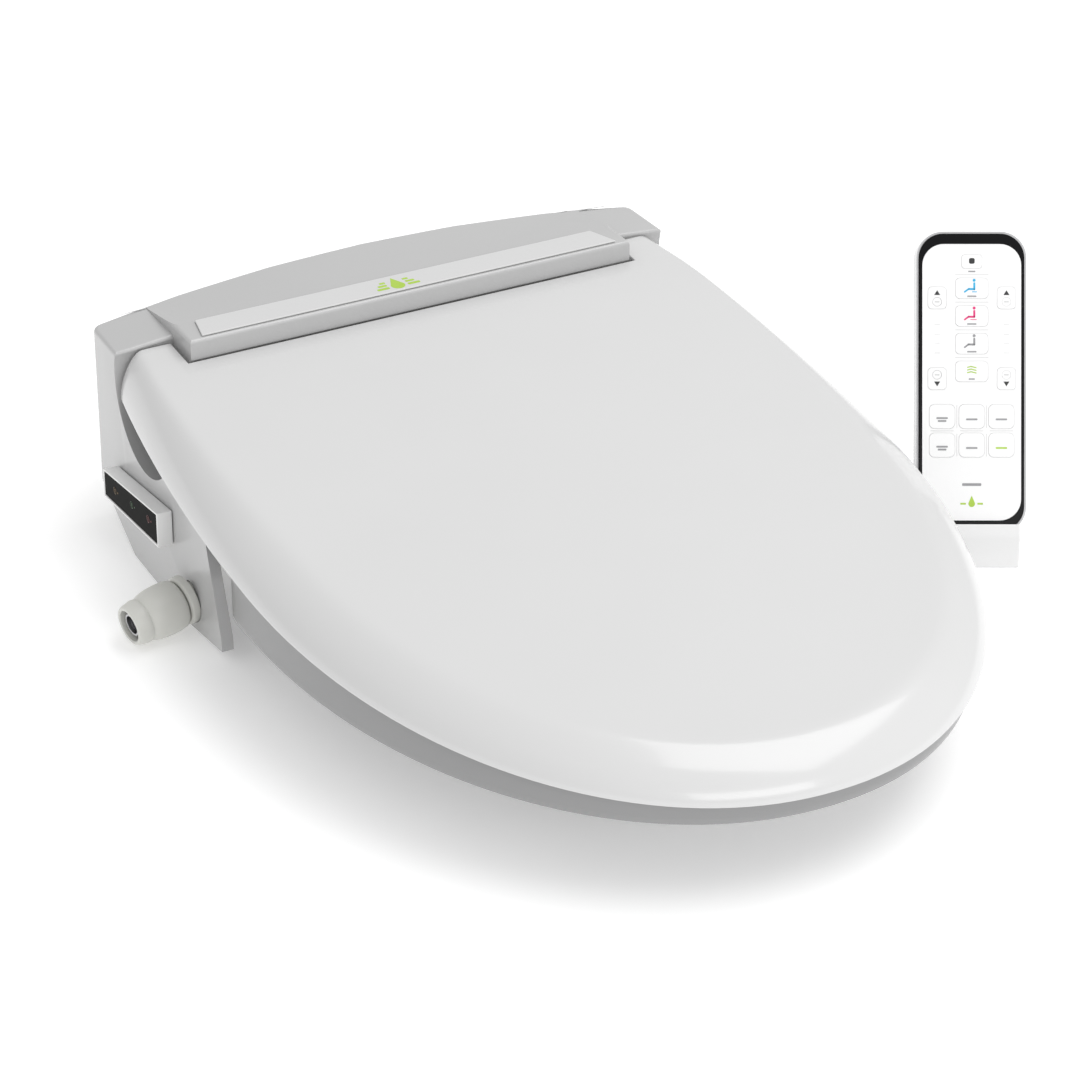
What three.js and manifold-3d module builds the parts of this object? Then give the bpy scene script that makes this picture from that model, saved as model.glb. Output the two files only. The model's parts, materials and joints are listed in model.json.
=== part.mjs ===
// An electric bidet seat with its remote control, in millimetres, +Z up.
// The origin lies on the bowl's deck, midway between the two seat bolts. The user sits facing -Y.
import * as THREE from 'three';
import { mergeVertices } from 'three/addons/utils/BufferGeometryUtils.js';
import Module from 'manifold-3d';

const wasm = await Module();
wasm.setup();

// ---- Driving dimensions -------------------------------------------------------------------------
const gap = 0.3;                        // clearance between pieces that touch
const wall = 3;                         // moulded wall thickness

const rearY = 50;                       // rear corners of the housing
const rearBow = 8;                      // how far the rear wall bows out in the middle
const rearHalf = 173;                   // half width at the rear corners
const rearCorner = 6;
const cheekHalf = 180;                  // half width at the front of the side cheeks
const cheekFrontY = -136;               // front edge of the side cheeks
const cheekThick = 7;
const skirtZ = -25;                     // lowest edge of the side cheeks, beside the bowl
const housingFrontY = -60;              // front wall of the housing, over the bowl's rear rim
const crestZ = 106;                     // crown of the housing's top
const cornerZ = 96;                     // height of the top's rear corners
const noseHalf = 139;                   // half width of the nose between the lid's ears
const noseFrontY = -13;
const noseTopZ = 106;
const noseFlatY = 10;                   // the nose slopes down behind this
const shelfZ = 70;                      // top of the housing in front of the nose, under the lid

const hingeY = -28;                     // common axis of the seat and the lid
const hingeZ = 82;
const shaftR = 3;
const damperR = 5.6;
const knuckleR = 8;
const armOuterX = 165.5;                // outer face of the seat's hinge arms
const lugX = 166.5;                     // inner face of the lid's hinge lugs
const lugThick = 4;
const shaftEndX = lugX + lugThick - 0.5;
const pocketR = 42.2;                   // hollow that the lid's ears turn into
const lipR = 19.2;                      // hollow that the lid's rear edge turns into

const lidTipY = -477;                   // front tip of the lid
const lidHalf = 192.5;                   // half width of the lid at its widest
const lidWideY = -200;                  // where the lid is widest
const lidTaper = 13;                    // how much narrower each side is at the hinge
const lidRearY = 10;                    // rear edge of the ears
const lidNotchY = -15;                  // rear edge between the ears, against the nose
const lidWall = 3;
const lidDrop = 2.5;                    // thickness of the lid's top
const earEdge = 0.55;                   // width of the ears' rounded edge, against the front's
const rimFrontZ = 32.4;                 // the lid's lower edge at the tip
const rimSlope = 0.073;
const lidTopFrontZ = 53;                // the lid's top at the tip
const lidTopSlope = 0.0913;

const seatInset = 6;                    // seat inside the lid's outline
const seatBottomZ = 20;
const seatTopFrontZ = 44;
const seatTopSlope = 0.085;
const seatArmHalf = 168;                // half width of the seat between the cheeks
const seatRearY = -66;
const seatStepY = -142;                 // the seat is narrow behind this
const holeHalf = 108;                   // seat opening
const holeRearY = -95;
const holeFrontY = -395;
const seatRoll = 16;

const nozzleTilt = THREE.MathUtils.degToRad(30);
const nozzleR = 6;
const nozzleTip = [0, -56, 14];         // the tip's centre with the nozzle drawn in
const nozzleLength = 104;

// ---- Helpers ------------------------------------------------------------------------------------
function toManifold(geometry) {
  const bare = geometry.index ? geometry.toNonIndexed() : geometry.clone();
  bare.deleteAttribute('normal');
  bare.deleteAttribute('uv');
  const merged = mergeVertices(bare, 1e-4);
  return new wasm.Manifold(new wasm.Mesh({
    numProp: 3,
    vertProperties: Float32Array.from(merged.attributes.position.array),
    triVerts: Uint32Array.from(merged.index.array),
  }));
}

function toGeometry(solid) {
  const mesh = solid.getMesh();
  const geometry = new THREE.BufferGeometry();
  geometry.setAttribute('position', new THREE.BufferAttribute(Float32Array.from(mesh.vertProperties), 3));
  geometry.setIndex([...mesh.triVerts]);
  geometry.computeVertexNormals();
  return geometry;
}

const join = (...solids) => solids.reduce((a, b) => a.add(b));
const cut = (solid, ...tools) => tools.reduce((a, b) => a.subtract(b), solid);

function outline(points) {
  return new THREE.Shape(points.map(([a, b]) => new THREE.Vector2(a, b)));
}

// An outline in X and Y, raised from z0 to z1.
function risen(shape, z0, z1, segments = 16) {
  const geometry = new THREE.ExtrudeGeometry(shape, {
    depth: z1 - z0, bevelEnabled: false, curveSegments: segments,
  });
  return toManifold(geometry.translate(0, 0, z0));
}

// An outline in Y and Z, drawn along X from x0 to x1.
function alongX(shape, x0, x1, segments = 16) {
  const geometry = new THREE.ExtrudeGeometry(shape, {
    depth: x1 - x0, bevelEnabled: false, curveSegments: segments,
  });
  const axes = new THREE.Matrix4().makeBasis(
    new THREE.Vector3(0, 1, 0), new THREE.Vector3(0, 0, 1), new THREE.Vector3(1, 0, 0));
  return toManifold(geometry.applyMatrix4(axes).translate(x0, 0, 0));
}

function block(x0, x1, y0, y1, z0, z1) {
  const geometry = new THREE.BoxGeometry(x1 - x0, y1 - y0, z1 - z0);
  return toManifold(geometry.translate((x0 + x1) / 2, (y0 + y1) / 2, (z0 + z1) / 2));
}

function roundedRect(halfW, halfH, r) {
  const shape = new THREE.Shape();
  shape.moveTo(-halfW + r, -halfH);
  shape.lineTo(halfW - r, -halfH);
  shape.absarc(halfW - r, -halfH + r, r, -Math.PI / 2, 0);
  shape.lineTo(halfW, halfH - r);
  shape.absarc(halfW - r, halfH - r, r, 0, Math.PI / 2);
  shape.lineTo(-halfW + r, halfH);
  shape.absarc(-halfW + r, halfH - r, r, Math.PI / 2, Math.PI);
  shape.lineTo(-halfW, -halfH + r);
  shape.absarc(-halfW + r, -halfH + r, r, Math.PI, Math.PI * 1.5);
  return shape;
}

// A round bar along X at (y, z).
function barX(r, x0, x1, y, z, sides = 24) {
  const geometry = new THREE.CylinderGeometry(r, r, x1 - x0, sides).rotateZ(Math.PI / 2);
  return toManifold(geometry.translate((x0 + x1) / 2, y, z));
}

function barZ(r, x, y, z0, z1, sides = 24) {
  const geometry = new THREE.CylinderGeometry(r, r, z1 - z0, sides).rotateX(Math.PI / 2);
  return toManifold(geometry.translate(x, y, (z0 + z1) / 2));
}

function barY(r, x, y0, y1, z, sides = 24) {
  const geometry = new THREE.CylinderGeometry(r, r, y1 - y0, sides);
  return toManifold(geometry.translate(x, (y0 + y1) / 2, z));
}

// Moves each vertex to the height that map(y, z) gives.
function reshaped(solid, map) {
  const geometry = toGeometry(solid);
  const position = geometry.attributes.position;
  for (let i = 0; i < position.count; i += 1) {
    position.setZ(i, map(position.getY(i), position.getZ(i)));
  }
  return geometry;
}

const bidet = new THREE.Group();

function addTo(group, name, geometry, color, roughness = 0.3, metalness = 0) {
  const material = new THREE.MeshStandardMaterial({ color, roughness, metalness });
  const mesh = new THREE.Mesh(geometry, material);
  mesh.name = name;
  group.add(mesh);
  return mesh;
}

function add(name, solid, ...look) {
  return addTo(bidet, name, toGeometry(solid), ...look);
}

const white = 0xdedede;
const brightWhite = 0xf0f0ee;
const innerWhite = 0xd2d2d0;
const black = 0x111112;
const rubber = 0xbfc0be;
const steel = 0xc9ccce;
const silver = 0xc4c6c8;
const board = 0x2f6b45;
const copper = 0xb87333;

// ---- Plan curves of the lid and the seat --------------------------------------------------------
const lidPower = 2.08;                  // superellipse power of the lid's front

// Half width of the lid at y, for an outline drawn in by inset.
function lidHalfAt(y, inset = 0) {
  if (y < lidWideY) {
    const reach = lidWideY - lidTipY - inset;
    const t = Math.min(1, (lidWideY - y) / reach);
    return (lidHalf - inset) * Math.pow(Math.max(0, 1 - Math.pow(t, lidPower)), 1 / lidPower);
  }
  const t = (y - lidWideY) / (hingeY - lidWideY);
  return lidHalf - inset - lidTaper * t * t;
}

// Right-hand edge of the front, from the widest place to the tip, spaced evenly round the curve.
function frontEdge(inset, steps) {
  const reach = lidWideY - lidTipY - inset;
  return Array.from({ length: steps + 1 }, (unused, i) => {
    const angle = (i / steps) * Math.PI / 2;
    const x = (lidHalf - inset) * Math.pow(Math.cos(angle), 2 / lidPower);
    const y = lidWideY - reach * Math.pow(Math.sin(angle), 2 / lidPower);
    return [i === steps ? 0 : x, y];
  });
}

function mirrored(points) {
  const left = points.filter(([x]) => x > 1e-6).map(([x, y]) => [-x, y]).reverse();
  return [...points, ...left];
}

// ---- Housing ------------------------------------------------------------------------------------
// Half width of the housing's outside at y.
function housingHalfAt(y) {
  const t = (rearY - y) / (rearY - cheekFrontY);
  return rearHalf + (cheekHalf - rearHalf) * t;
}

// Plan of the housing, drawn in by inset, back from the front plane at y0.
function housingPlan(inset, y0) {
  const corner = rearCorner - Math.min(inset, rearCorner - 2);
  const y1 = rearY - inset;
  const points = [[housingHalfAt(y0) - inset, y0]];
  for (let i = 0; i <= 4; i += 1) {
    const angle = (i / 4) * Math.PI / 2;
    const x = rearHalf - inset - corner + corner * Math.cos(angle);
    points.push([x, y1 - corner + corner * Math.sin(angle)]);
  }
  const bowHalf = rearHalf - inset - corner;
  for (let i = 1; i <= 8; i += 1) {
    const x = bowHalf * (1 - i / 8);
    points.push([x, y1 + rearBow * (1 - (x / bowHalf) ** 2)]);
  }
  return outline(mirrored(points));
}

// The body below the crowned top: crown drawn in by inset.
function crown(inset) {
  const sag = crestZ - cornerZ;
  const radius = (rearHalf ** 2 + sag ** 2) / (2 * sag);
  return barY(radius - inset, 0, cheekFrontY - 5, rearY + rearBow + 5, crestZ - radius, 160);
}

function upperCover() {
  const side = outline([
    [rearY + rearBow + 1, 0], [46, 0], [-4, skirtZ], [-90, skirtZ], [cheekFrontY, skirtZ + 7],
    [cheekFrontY, skirtZ + 14], [-118, 40], [-112, 62], [-78, 66], [-64, 74],
    [-13, 120], [rearY + rearBow + 1, 120],
  ]);
  const noseRearZ = crestZ - (crestZ - cornerZ) * (noseHalf / rearHalf) ** 2;
  const nose = alongX(outline([
    [noseFrontY, shelfZ], [rearY, shelfZ], [rearY, noseRearZ], [noseFlatY, noseTopZ],
    [noseFrontY, noseTopZ],
  ]), -noseHalf, noseHalf);
  const cheeks = risen(housingPlan(0, cheekFrontY), skirtZ, 120);
  let shell = join(cheeks.intersect(alongX(side, -200, 200)).intersect(crown(0)), nose);
  // Only the two cheeks go forward of the front wall.
  shell = cut(shell, block(-(cheekHalf - cheekThick), cheekHalf - cheekThick,
    cheekFrontY - 1, housingFrontY, skirtZ - 1, 121));
  // Below the deck there are only the cheeks.
  shell = cut(shell, block(-(rearHalf - cheekThick + 3), rearHalf - cheekThick + 3,
    housingFrontY - 1, rearY + 20, skirtZ - 1, 0));
  // The low shelf in front of the nose, and the hollows that the lid turns into.
  shell = cut(shell,
    block(-noseHalf - 2, noseHalf + 2, housingFrontY - 1, noseFrontY, shelfZ, 121),
    barX(lipR, -noseHalf - 1, noseHalf + 1, hingeY, hingeZ, 48));
  for (const sign of [-1, 1]) {
    const x0 = sign > 0 ? noseHalf : -cheekHalf - 20;
    const x1 = sign > 0 ? cheekHalf + 20 : -noseHalf;
    shell = cut(shell, barX(pocketR, x0, x1, hingeY, hingeZ, 48),
      block(x0, x1, hingeY - pocketR, hingeY + pocketR - 2.8, hingeZ, 121));
  }
  // Inside: the same form drawn in by the wall, open at the bottom.
  const inner = wall;
  const roomSide = outline([
    [rearY + rearBow, -1], [housingFrontY + inner, -1], [housingFrontY + inner, shelfZ - inner],
    [noseFrontY - 2, shelfZ - inner], [noseFrontY + 6, noseTopZ - inner], [rearY + rearBow, 120],
  ]);
  let room = risen(housingPlan(inner, housingFrontY + inner), -1, 120)
    .intersect(alongX(roomSide, -200, 200)).intersect(crown(inner));
  room = cut(room, barX(lipR + inner, -noseHalf - 2, noseHalf + 2, hingeY, hingeZ, 48));
  for (const sign of [-1, 1]) {
    const x0 = sign > 0 ? noseHalf - inner : -cheekHalf - 20;
    const x1 = sign > 0 ? cheekHalf + 20 : -noseHalf + inner;
    room = cut(room, barX(pocketR + inner, x0, x1, hingeY, hingeZ, 48),
      block(x0, x1, hingeY - pocketR - inner, hingeY + pocketR - 2.8 + inner, hingeZ, 121));
  }
  shell = cut(shell, room);
  // Knuckles for the dampers stand on the shelf.
  for (const sign of [-1, 1]) {
    const x0 = sign > 0 ? 97 : -noseHalf + gap;
    const x1 = sign > 0 ? noseHalf - gap : -97;
    const knuckle = join(barX(knuckleR, x0, x1, hingeY, hingeZ),
      block(x0, x1, hingeY - knuckleR, hingeY + 4, hingeZ - lipR - 1, hingeZ));
    shell = join(shell, knuckle);
    const bore0 = sign > 0 ? 100 : -noseHalf - 1;
    const bore1 = sign > 0 ? noseHalf + 1 : -100;
    shell = cut(shell, barX(damperR + gap, bore0, bore1, hingeY, hingeZ));
  }
  return shell;
}

let cover = upperCover();

// ---- Water inlet ----------------------------------------------------------------------------------
const inletDir = new THREE.Vector3(-1, -0.15, -0.13).normalize();
const inletAt = new THREE.Vector3(-179, -92, -6);
const inletTurn = new THREE.Quaternion().setFromUnitVectors(new THREE.Vector3(0, 0, 1), inletDir);

// A turned piece about the inlet's axis: the profile holds [radius, distance out from the cheek].
function inletPiece(profile, sides = 32) {
  const points = profile.map(([radius, out]) => new THREE.Vector2(radius, out));
  const geometry = new THREE.LatheGeometry(points, sides).rotateX(Math.PI / 2);
  return toManifold(geometry.applyQuaternion(inletTurn).translate(inletAt.x, inletAt.y, inletAt.z));
}

const inletElbow = inletPiece([
  [0, -13], [8, -13], [8, 1.8], [14, 1.8], [14, 6], [12.5, 7], [7.5, 7], [7.5, 28], [0, 28], [0, -13],
]);
const inletNut = inletPiece([
  [8, 7.6], [12.8, 7.6], [14.4, 9.2], [14.8, 19], [13.8, 28], [12, 33.5], [11.6, 40], [9, 40],
  [9, 24], [8, 22], [8, 7.6],
]);
const strainer = inletPiece([
  [0, 28.6], [6.5, 28.6], [6.5, 38], [5.3, 38], [5.3, 29.8], [0, 29.8], [0, 28.6],
], 24);

// ---- Openings in the cover ------------------------------------------------------------------------
const ductHalf = 14;
const ductX = 70;
cover = cut(cover,
  inletPiece([[0, -30], [9, -30], [9, 1.2], [14.6, 1.2], [14.6, 30], [0, 30], [0, -30]], 24),
  block(-9.5, 9.5, housingFrontY - 1, housingFrontY + wall + 1, 1.5, 19),
  block(-3.5, 3.5, housingFrontY - 1, housingFrontY + wall + 1, 18, 23),
  block(ductX - ductHalf, ductX + ductHalf, housingFrontY - 1, housingFrontY + wall + 1, 3, 17));
add('upper_cover', cover, white);
add('nose_trim', risen(outline([
  [-127, 8], [-131, -11], [131, -11], [124, 8],
]), noseTopZ + gap, noseTopZ + 1.3), brightWhite, 0.25);

// ---- Base, bracket and mains inlet ------------------------------------------------------------------
const baseZ = 5.3;
const baseThick = 3;
let base = risen(housingPlan(wall + gap, housingFrontY + wall + gap), baseZ, baseZ + baseThick);
base = cut(base, block(-13, 13, housingFrontY - 1, -34, 0, 20));
add('base_plate', base, innerWhite, 0.5);

const boltSpacing = 140;
let bracket = risen(roundedRect(95, 34, 8), 0, 5, 4);
for (const x of [-boltSpacing / 2, boltSpacing / 2]) {
  bracket = cut(bracket, block(x - 5, x + 5, -18, 18, -1, 6));
}
add('mounting_bracket', bracket, innerWhite, 0.5);

const cordX = 120;
const glandY = rearY + rearBow * 0.62;
const glandPoints = [
  [0, 0], [8, 0], [8, 3], [5.5, 4], [4.2, 16], [0, 16], [0, 0],
].map(([radius, out]) => new THREE.Vector2(radius, out));
add('cord_gland', toManifold(new THREE.LatheGeometry(glandPoints, 24).translate(cordX, glandY, 18)),
  rubber, 0.6);

// ---- Display pod ------------------------------------------------------------------------------------
const podTilt = 0.152;                  // rises towards the front
const wallSlope = (cheekHalf - rearHalf) / (rearY - cheekFrontY);
const podX = new THREE.Vector3(-wallSlope, -1, podTilt).normalize();
const podZ = new THREE.Vector3(-1, wallSlope, 0).normalize();
const podY = new THREE.Vector3().crossVectors(podZ, podX).normalize();
const podDepth = 9;
const podRim = 1.4;                     // width of the surround's edge round the window
const podCentre = new THREE.Vector3(-housingHalfAt(-29) - gap * 1.3, -29, 22.8);
const podFrame = new THREE.Matrix4().makeBasis(podX, podY, podZ.clone().crossVectors(podX, podY));
podFrame.setPosition(podCentre);

function podPiece(points, z0, z1) {
  const geometry = new THREE.ExtrudeGeometry(outline(points), { depth: z1 - z0, bevelEnabled: false });
  return toManifold(geometry.translate(0, 0, z0).applyMatrix4(podFrame));
}

// The window's four corners drawn in by inset: it is taller at its front end, and its ends are upright.
const windowRear = { x: -44.2, low: -8.6, high: 6 };
const windowFront = { x: 39, low: -12.1, high: 6 };

function windowOutline(inset) {
  return [
    [windowRear.x + inset, windowRear.low + inset], [windowFront.x - inset, windowFront.low + inset],
    [windowFront.x - inset, windowFront.high - inset], [windowRear.x + inset, windowRear.high - inset],
  ].map(([x, y]) => [x + podTilt * y, y]);
}

let bezel = podPiece(windowOutline(-podRim), 0, podDepth);
bezel = cut(bezel, podPiece(windowOutline(-gap), 3, podDepth + 1));
add('display_bezel', bezel, brightWhite, 0.3);
add('display_window', podPiece(windowOutline(0), podDepth - 2.5, podDepth - 0.4),
  black, 0.15);
add('display_board', podPiece(windowOutline(1), 4, 5.6), board, 0.6);

add('inlet_elbow', inletElbow, brightWhite, 0.35);
add('inlet_nut', inletNut, 0xdcdcd4, 0.4);
add('inlet_strainer', strainer, steel, 0.4, 0.8);

// ---- Water heating ----------------------------------------------------------------------------------
const tank = { x0: -126, x1: -34, y0: -50, y1: 30, z0: baseZ + baseThick + gap, z1: 54 };
add('heater_tank', cut(
  block(tank.x0, tank.x1, tank.y0, tank.y1, tank.z0, tank.z1),
  block(tank.x0 + 2.5, tank.x1 - 2.5, tank.y0 + 2.5, tank.y1 - 2.5, tank.z0 + 2.5, tank.z1 + 1)),
innerWhite, 0.5);
add('tank_lid', block(tank.x0, tank.x1, tank.y0, tank.y1, tank.z1 + gap, tank.z1 + 3.5), innerWhite, 0.5);

class HeaterPath extends THREE.Curve {
  getPoint(t) {
    const angle = Math.PI * t;
    return new THREE.Vector3(-80 + 30 * Math.cos(angle), -26 + 34 * Math.sin(angle), 30);
  }
}
const rodSection = new THREE.Shape().absarc(0, 0, 4, 0, Math.PI * 2);
add('heating_element', toManifold(new THREE.ExtrudeGeometry(rodSection, {
  steps: 14, curveSegments: 5, bevelEnabled: false, extrudePath: new HeaterPath(),
})), copper, 0.35, 0.9);
add('inlet_valve', join(block(-160, -138, -44, -10, 9, 22), barZ(9, -149, -27, 21, 34)), innerWhite, 0.5);
add('main_board', join(block(-118, -8, 6, 42, 86, 87.6), block(-100, -70, 14, 34, 87, 93),
  barZ(6, -50, 24, 87, 95), block(-36, -16, 12, 26, 87, 91)), board, 0.6);

// ---- Dryer --------------------------------------------------------------------------------------------
const fan = { x: 92, y: 12, r: 24, z0: 14, z1: 36 };
const ductFloorZ = baseZ + baseThick + gap;
let duct = join(barZ(fan.r + 5, fan.x, fan.y, ductFloorZ, 42, 40),
  block(ductX - ductHalf, ductX + ductHalf, housingFrontY + wall + 0.5, fan.y, ductFloorZ, 22));
duct = cut(duct, barZ(fan.r + 2.5, fan.x, fan.y, 11, 39, 40),
  block(ductX - ductHalf + 2, ductX + ductHalf - 2, housingFrontY, fan.y, 11, 20),
  barZ(10, fan.x, fan.y, 38, 43, 24));
add('dryer_duct', duct, innerWhite, 0.5);
const blades = Array.from({ length: 10 }, (unused, i) => {
  const blade = new THREE.BoxGeometry(13, 1.2, fan.z1 - fan.z0 - 2).translate(fan.r - 7, 0, 0);
  return toManifold(blade.rotateZ((i / 10) * Math.PI * 2).translate(fan.x, fan.y, (fan.z0 + fan.z1) / 2));
});
const fanHub = barZ(6, fan.x, fan.y, fan.z0, fan.z1);
const fanDisc = barZ(fan.r, fan.x, fan.y, fan.z0, fan.z0 + 1.6, 32);
add('dryer_fan', join(fanHub, fanDisc, ...blades), 0x33363a, 0.5);
add('dryer_motor', join(barZ(13, fan.x, fan.y, 43, 62), barZ(2, fan.x, fan.y, fan.z1 + gap, 44, 12)),
  steel, 0.4, 0.8);
const flap = { hingeY: housingFrontY - 1.2, hingeZ: 18.5 };
add('dryer_flap', join(
  block(ductX - 15, ductX + 15, flap.hingeY - 0.9, flap.hingeY + 0.6, 3, flap.hingeZ),
  barX(0.9, ductX - 15, ductX + 15, flap.hingeY, flap.hingeZ, 12)), white, 0.35);

// ---- Wash nozzle ----------------------------------------------------------------------------------------
// Local +Y runs back up the nozzle from the centre of its tip.
function nozzlePlaced(geometry) {
  return geometry.rotateX(nozzleTilt).translate(nozzleTip[0], nozzleTip[1], nozzleTip[2] - 3);
}

function nozzleBar(r, y0, y1, sides = 24) {
  return toManifold(nozzlePlaced(
    new THREE.CylinderGeometry(r, r, y1 - y0, sides).translate(0, (y0 + y1) / 2, 0)));
}

function nozzleBlock(x0, x1, y0, y1, z0, z1) {
  return toManifold(nozzlePlaced(new THREE.BoxGeometry(x1 - x0, y1 - y0, z1 - z0)
    .translate((x0 + x1) / 2, (y0 + y1) / 2, (z0 + z1) / 2)));
}

const toothPitch = Math.PI;             // module 1
const pinionTeeth = 12;
const pinionR = toothPitch * pinionTeeth / (2 * Math.PI);
const toothHalf = 0.55;
const rackLine = 9;                     // pitch line of the rack above the nozzle's axis
const pinionTooth = 11;                 // the rack tooth that faces the pinion at rest
const pinionAtY = pinionTooth * toothPitch;
const pinionAtZ = rackLine + pinionR;

function toothOutline(rootY, tipY) {
  return outline([[-toothHalf - 0.25, rootY], [toothHalf + 0.25, rootY],
    [toothHalf - 0.2, tipY], [-toothHalf + 0.2, tipY]]);
}

function rackTooth(index) {
  const tooth = new THREE.ExtrudeGeometry(toothOutline(-1.2, 0.8), { depth: 5, bevelEnabled: false });
  const axes = new THREE.Matrix4().makeBasis(
    new THREE.Vector3(0, 1, 0), new THREE.Vector3(0, 0, 1), new THREE.Vector3(1, 0, 0));
  tooth.applyMatrix4(axes).translate(-2.5, index * toothPitch, rackLine);
  return toManifold(nozzlePlaced(tooth));
}

function pinion() {
  const hub = new THREE.CylinderGeometry(pinionR - 1.1, pinionR - 1.1, 5, 36).rotateZ(Math.PI / 2);
  const pieces = [toManifold(nozzlePlaced(hub.translate(0, pinionAtY, pinionAtZ)))];
  const shaft = new THREE.CylinderGeometry(1.5, 1.5, 12, 16).rotateZ(Math.PI / 2);
  pieces.push(toManifold(nozzlePlaced(shaft.translate(6, pinionAtY, pinionAtZ))));
  for (let i = 0; i < pinionTeeth; i += 1) {
    const tooth = new THREE.ExtrudeGeometry(toothOutline(-1.3, 0.8), { depth: 5, bevelEnabled: false });
    const axes = new THREE.Matrix4().makeBasis(
      new THREE.Vector3(0, 1, 0), new THREE.Vector3(0, 0, 1), new THREE.Vector3(1, 0, 0));
    tooth.translate(0, pinionR, 0).applyMatrix4(axes).translate(-2.5, 0, 0);
    // A gap between two teeth faces the rack's tooth.
    tooth.rotateX(Math.PI + ((i + 0.5) / pinionTeeth) * Math.PI * 2).translate(0, pinionAtY, pinionAtZ);
    pieces.push(toManifold(nozzlePlaced(tooth)));
  }
  return join(...pieces);
}

add('nozzle_tip', join(nozzleBar(nozzleR, 0, 16), nozzleBlock(-2.6, 2.6, 3, 14, nozzleR - 1, nozzleR + 0.4)),
  brightWhite, 0.35);
const rackBody = nozzleBlock(-2.5, 2.5, 26, nozzleLength, 4, rackLine - 1);
const rackTeeth = Array.from({ length: 23 }, (unused, i) => rackTooth(i + pinionTooth - 2));
const tube = nozzleBar(nozzleR - 0.6, 16.3, nozzleLength);
add('nozzle_tube', join(tube, rackBody, ...rackTeeth), steel, 0.25, 0.9);
add('nozzle_pinion', pinion(), brightWhite, 0.5);
let guide = nozzleBlock(-11, 11, 7, nozzleLength - 6, -9, 7.5);
guide = cut(guide, nozzleBar(nozzleR + 0.4, -5, nozzleLength + 5),
  nozzleBlock(-3.2, 3.2, -5, nozzleLength + 5, 3, 20));
add('nozzle_guide', guide, innerWhite, 0.5);
add('nozzle_motor', nozzleBlock(12.4, 34, pinionAtY - 13, pinionAtY + 13, pinionAtZ - 12, pinionAtZ + 8),
  steel, 0.4, 0.8);

// ---- Soft-close dampers, whose shafts carry the seat and the lid ----------------------------------------
for (const [name, sign] of [['damper_left', -1], ['damper_right', 1]]) {
  const body = [100.3 * sign, (noseHalf - 1) * sign].sort((a, b) => a - b);
  const shaft = [(noseHalf - 1.5) * sign, shaftEndX * sign].sort((a, b) => a - b);
  add(name, join(barX(damperR, ...body, hingeY, hingeZ), barX(shaftR, ...shaft, hingeY, hingeZ)),
    0x55585c, 0.4);
}

// ---- Seat -------------------------------------------------------------------------------------------------
function seatPlan(inset) {
  const sideInset = seatInset + inset;
  const points = [[seatArmHalf - inset, seatRearY - inset], [seatArmHalf - inset, seatStepY - inset]];
  const stepFrontY = seatStepY - 26;
  for (let i = 1; i <= 4; i += 1) {
    const t = i / 4;
    const wide = lidHalfAt(stepFrontY, sideInset);
    const narrow = seatArmHalf - inset;
    const x = narrow + (wide - narrow) * t * t * (3 - 2 * t);
    points.push([x, seatStepY - inset + (stepFrontY - seatStepY + inset) * t]);
  }
  points.push(...frontEdge(sideInset, 20));
  return outline(mirrored(points));
}

function holePlan(outset) {
  const centreY = (holeRearY + holeFrontY) / 2;
  const halfLength = (holeRearY - holeFrontY) / 2 + outset;
  const points = Array.from({ length: 40 }, (unused, i) => {
    const angle = (i / 40) * Math.PI * 2;
    const c = Math.cos(angle);
    const s = Math.sin(angle);
    return [(holeHalf + outset) * Math.sign(c) * Math.abs(c) ** 0.9,
      centreY + halfLength * Math.sign(s) * Math.abs(s) ** 0.9];
  });
  return outline(points);
}

const seatFrontHeight = seatTopFrontZ - seatBottomZ;

function seatTopAt(y) {
  return seatTopFrontZ + seatTopSlope * (y - lidTipY);
}

// A ring with a rolled upper edge, drawn in by inset, from z0 to seatFrontHeight - top.
function ringBlank(inset, z0, top) {
  const roll = seatRoll - inset;
  const height = seatFrontHeight - top;
  const shape = seatPlan(inset);
  const geometry = new THREE.ExtrudeGeometry(shape, {
    depth: height - roll, bevelEnabled: true, bevelThickness: roll, bevelSize: roll,
    bevelOffset: -roll, bevelSegments: 4, curveSegments: 16,
  });
  let ring = toManifold(geometry);
  ring = cut(ring, block(-300, 300, -600, 100, -60, z0));
  return cut(ring, risen(holePlan(inset + 1), z0 - 1, 60));
}

const seatOuter = ringBlank(0, 0, 0);
const seatInner = ringBlank(wall, -1, wall);
// The upright side stretches towards the rear, and the rolled edge above it is only lifted.
const seatSideHeight = seatFrontHeight - seatRoll;
const seatShell = reshaped(cut(seatOuter, seatInner), (y, z) => seatBottomZ + z
  + (seatTopAt(y) - seatTopFrontZ) * Math.min(1, Math.max(0, z / seatSideHeight)));
let seatTop = toManifold(seatShell);
const eyeR = 6.2;
for (const sign of [-1, 1]) {
  const x0 = sign > 0 ? 143 : -armOuterX;
  const x1 = sign > 0 ? armOuterX : -143;
  const arm = alongX(outline([
    [hingeY, hingeZ + eyeR], [hingeY - 30, hingeZ + 3], [seatRearY - 6, seatTopAt(seatRearY - 6) - 1],
    [seatRearY - 6, 62],
    [seatRearY + 4, 62], [hingeY, hingeZ - eyeR],
  ]), x0, x1);
  seatTop = join(seatTop, arm, barX(eyeR, x0, x1, hingeY, hingeZ, 32));
  seatTop = cut(seatTop, barX(shaftR + gap, x0 - 1, x1 + 1, hingeY, hingeZ));
}
add('seat_top', seatTop, 0xcfcfcf);
const seatFloor = cut(risen(seatPlan(wall + gap), seatBottomZ + gap, seatBottomZ + 3),
  risen(holePlan(wall + gap + 1), 0, 60));
add('seat_bottom', seatFloor, 0xc6c6c6, 0.4);
const heaterFilm = cut(risen(seatPlan(20), 0, 0.8), risen(holePlan(20), -1, 3));
add('seat_heater', toManifold(reshaped(heaterFilm, (y, z) => seatTopAt(y) - wall - 4 + z)), 0xd9b26a, 0.5);
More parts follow.
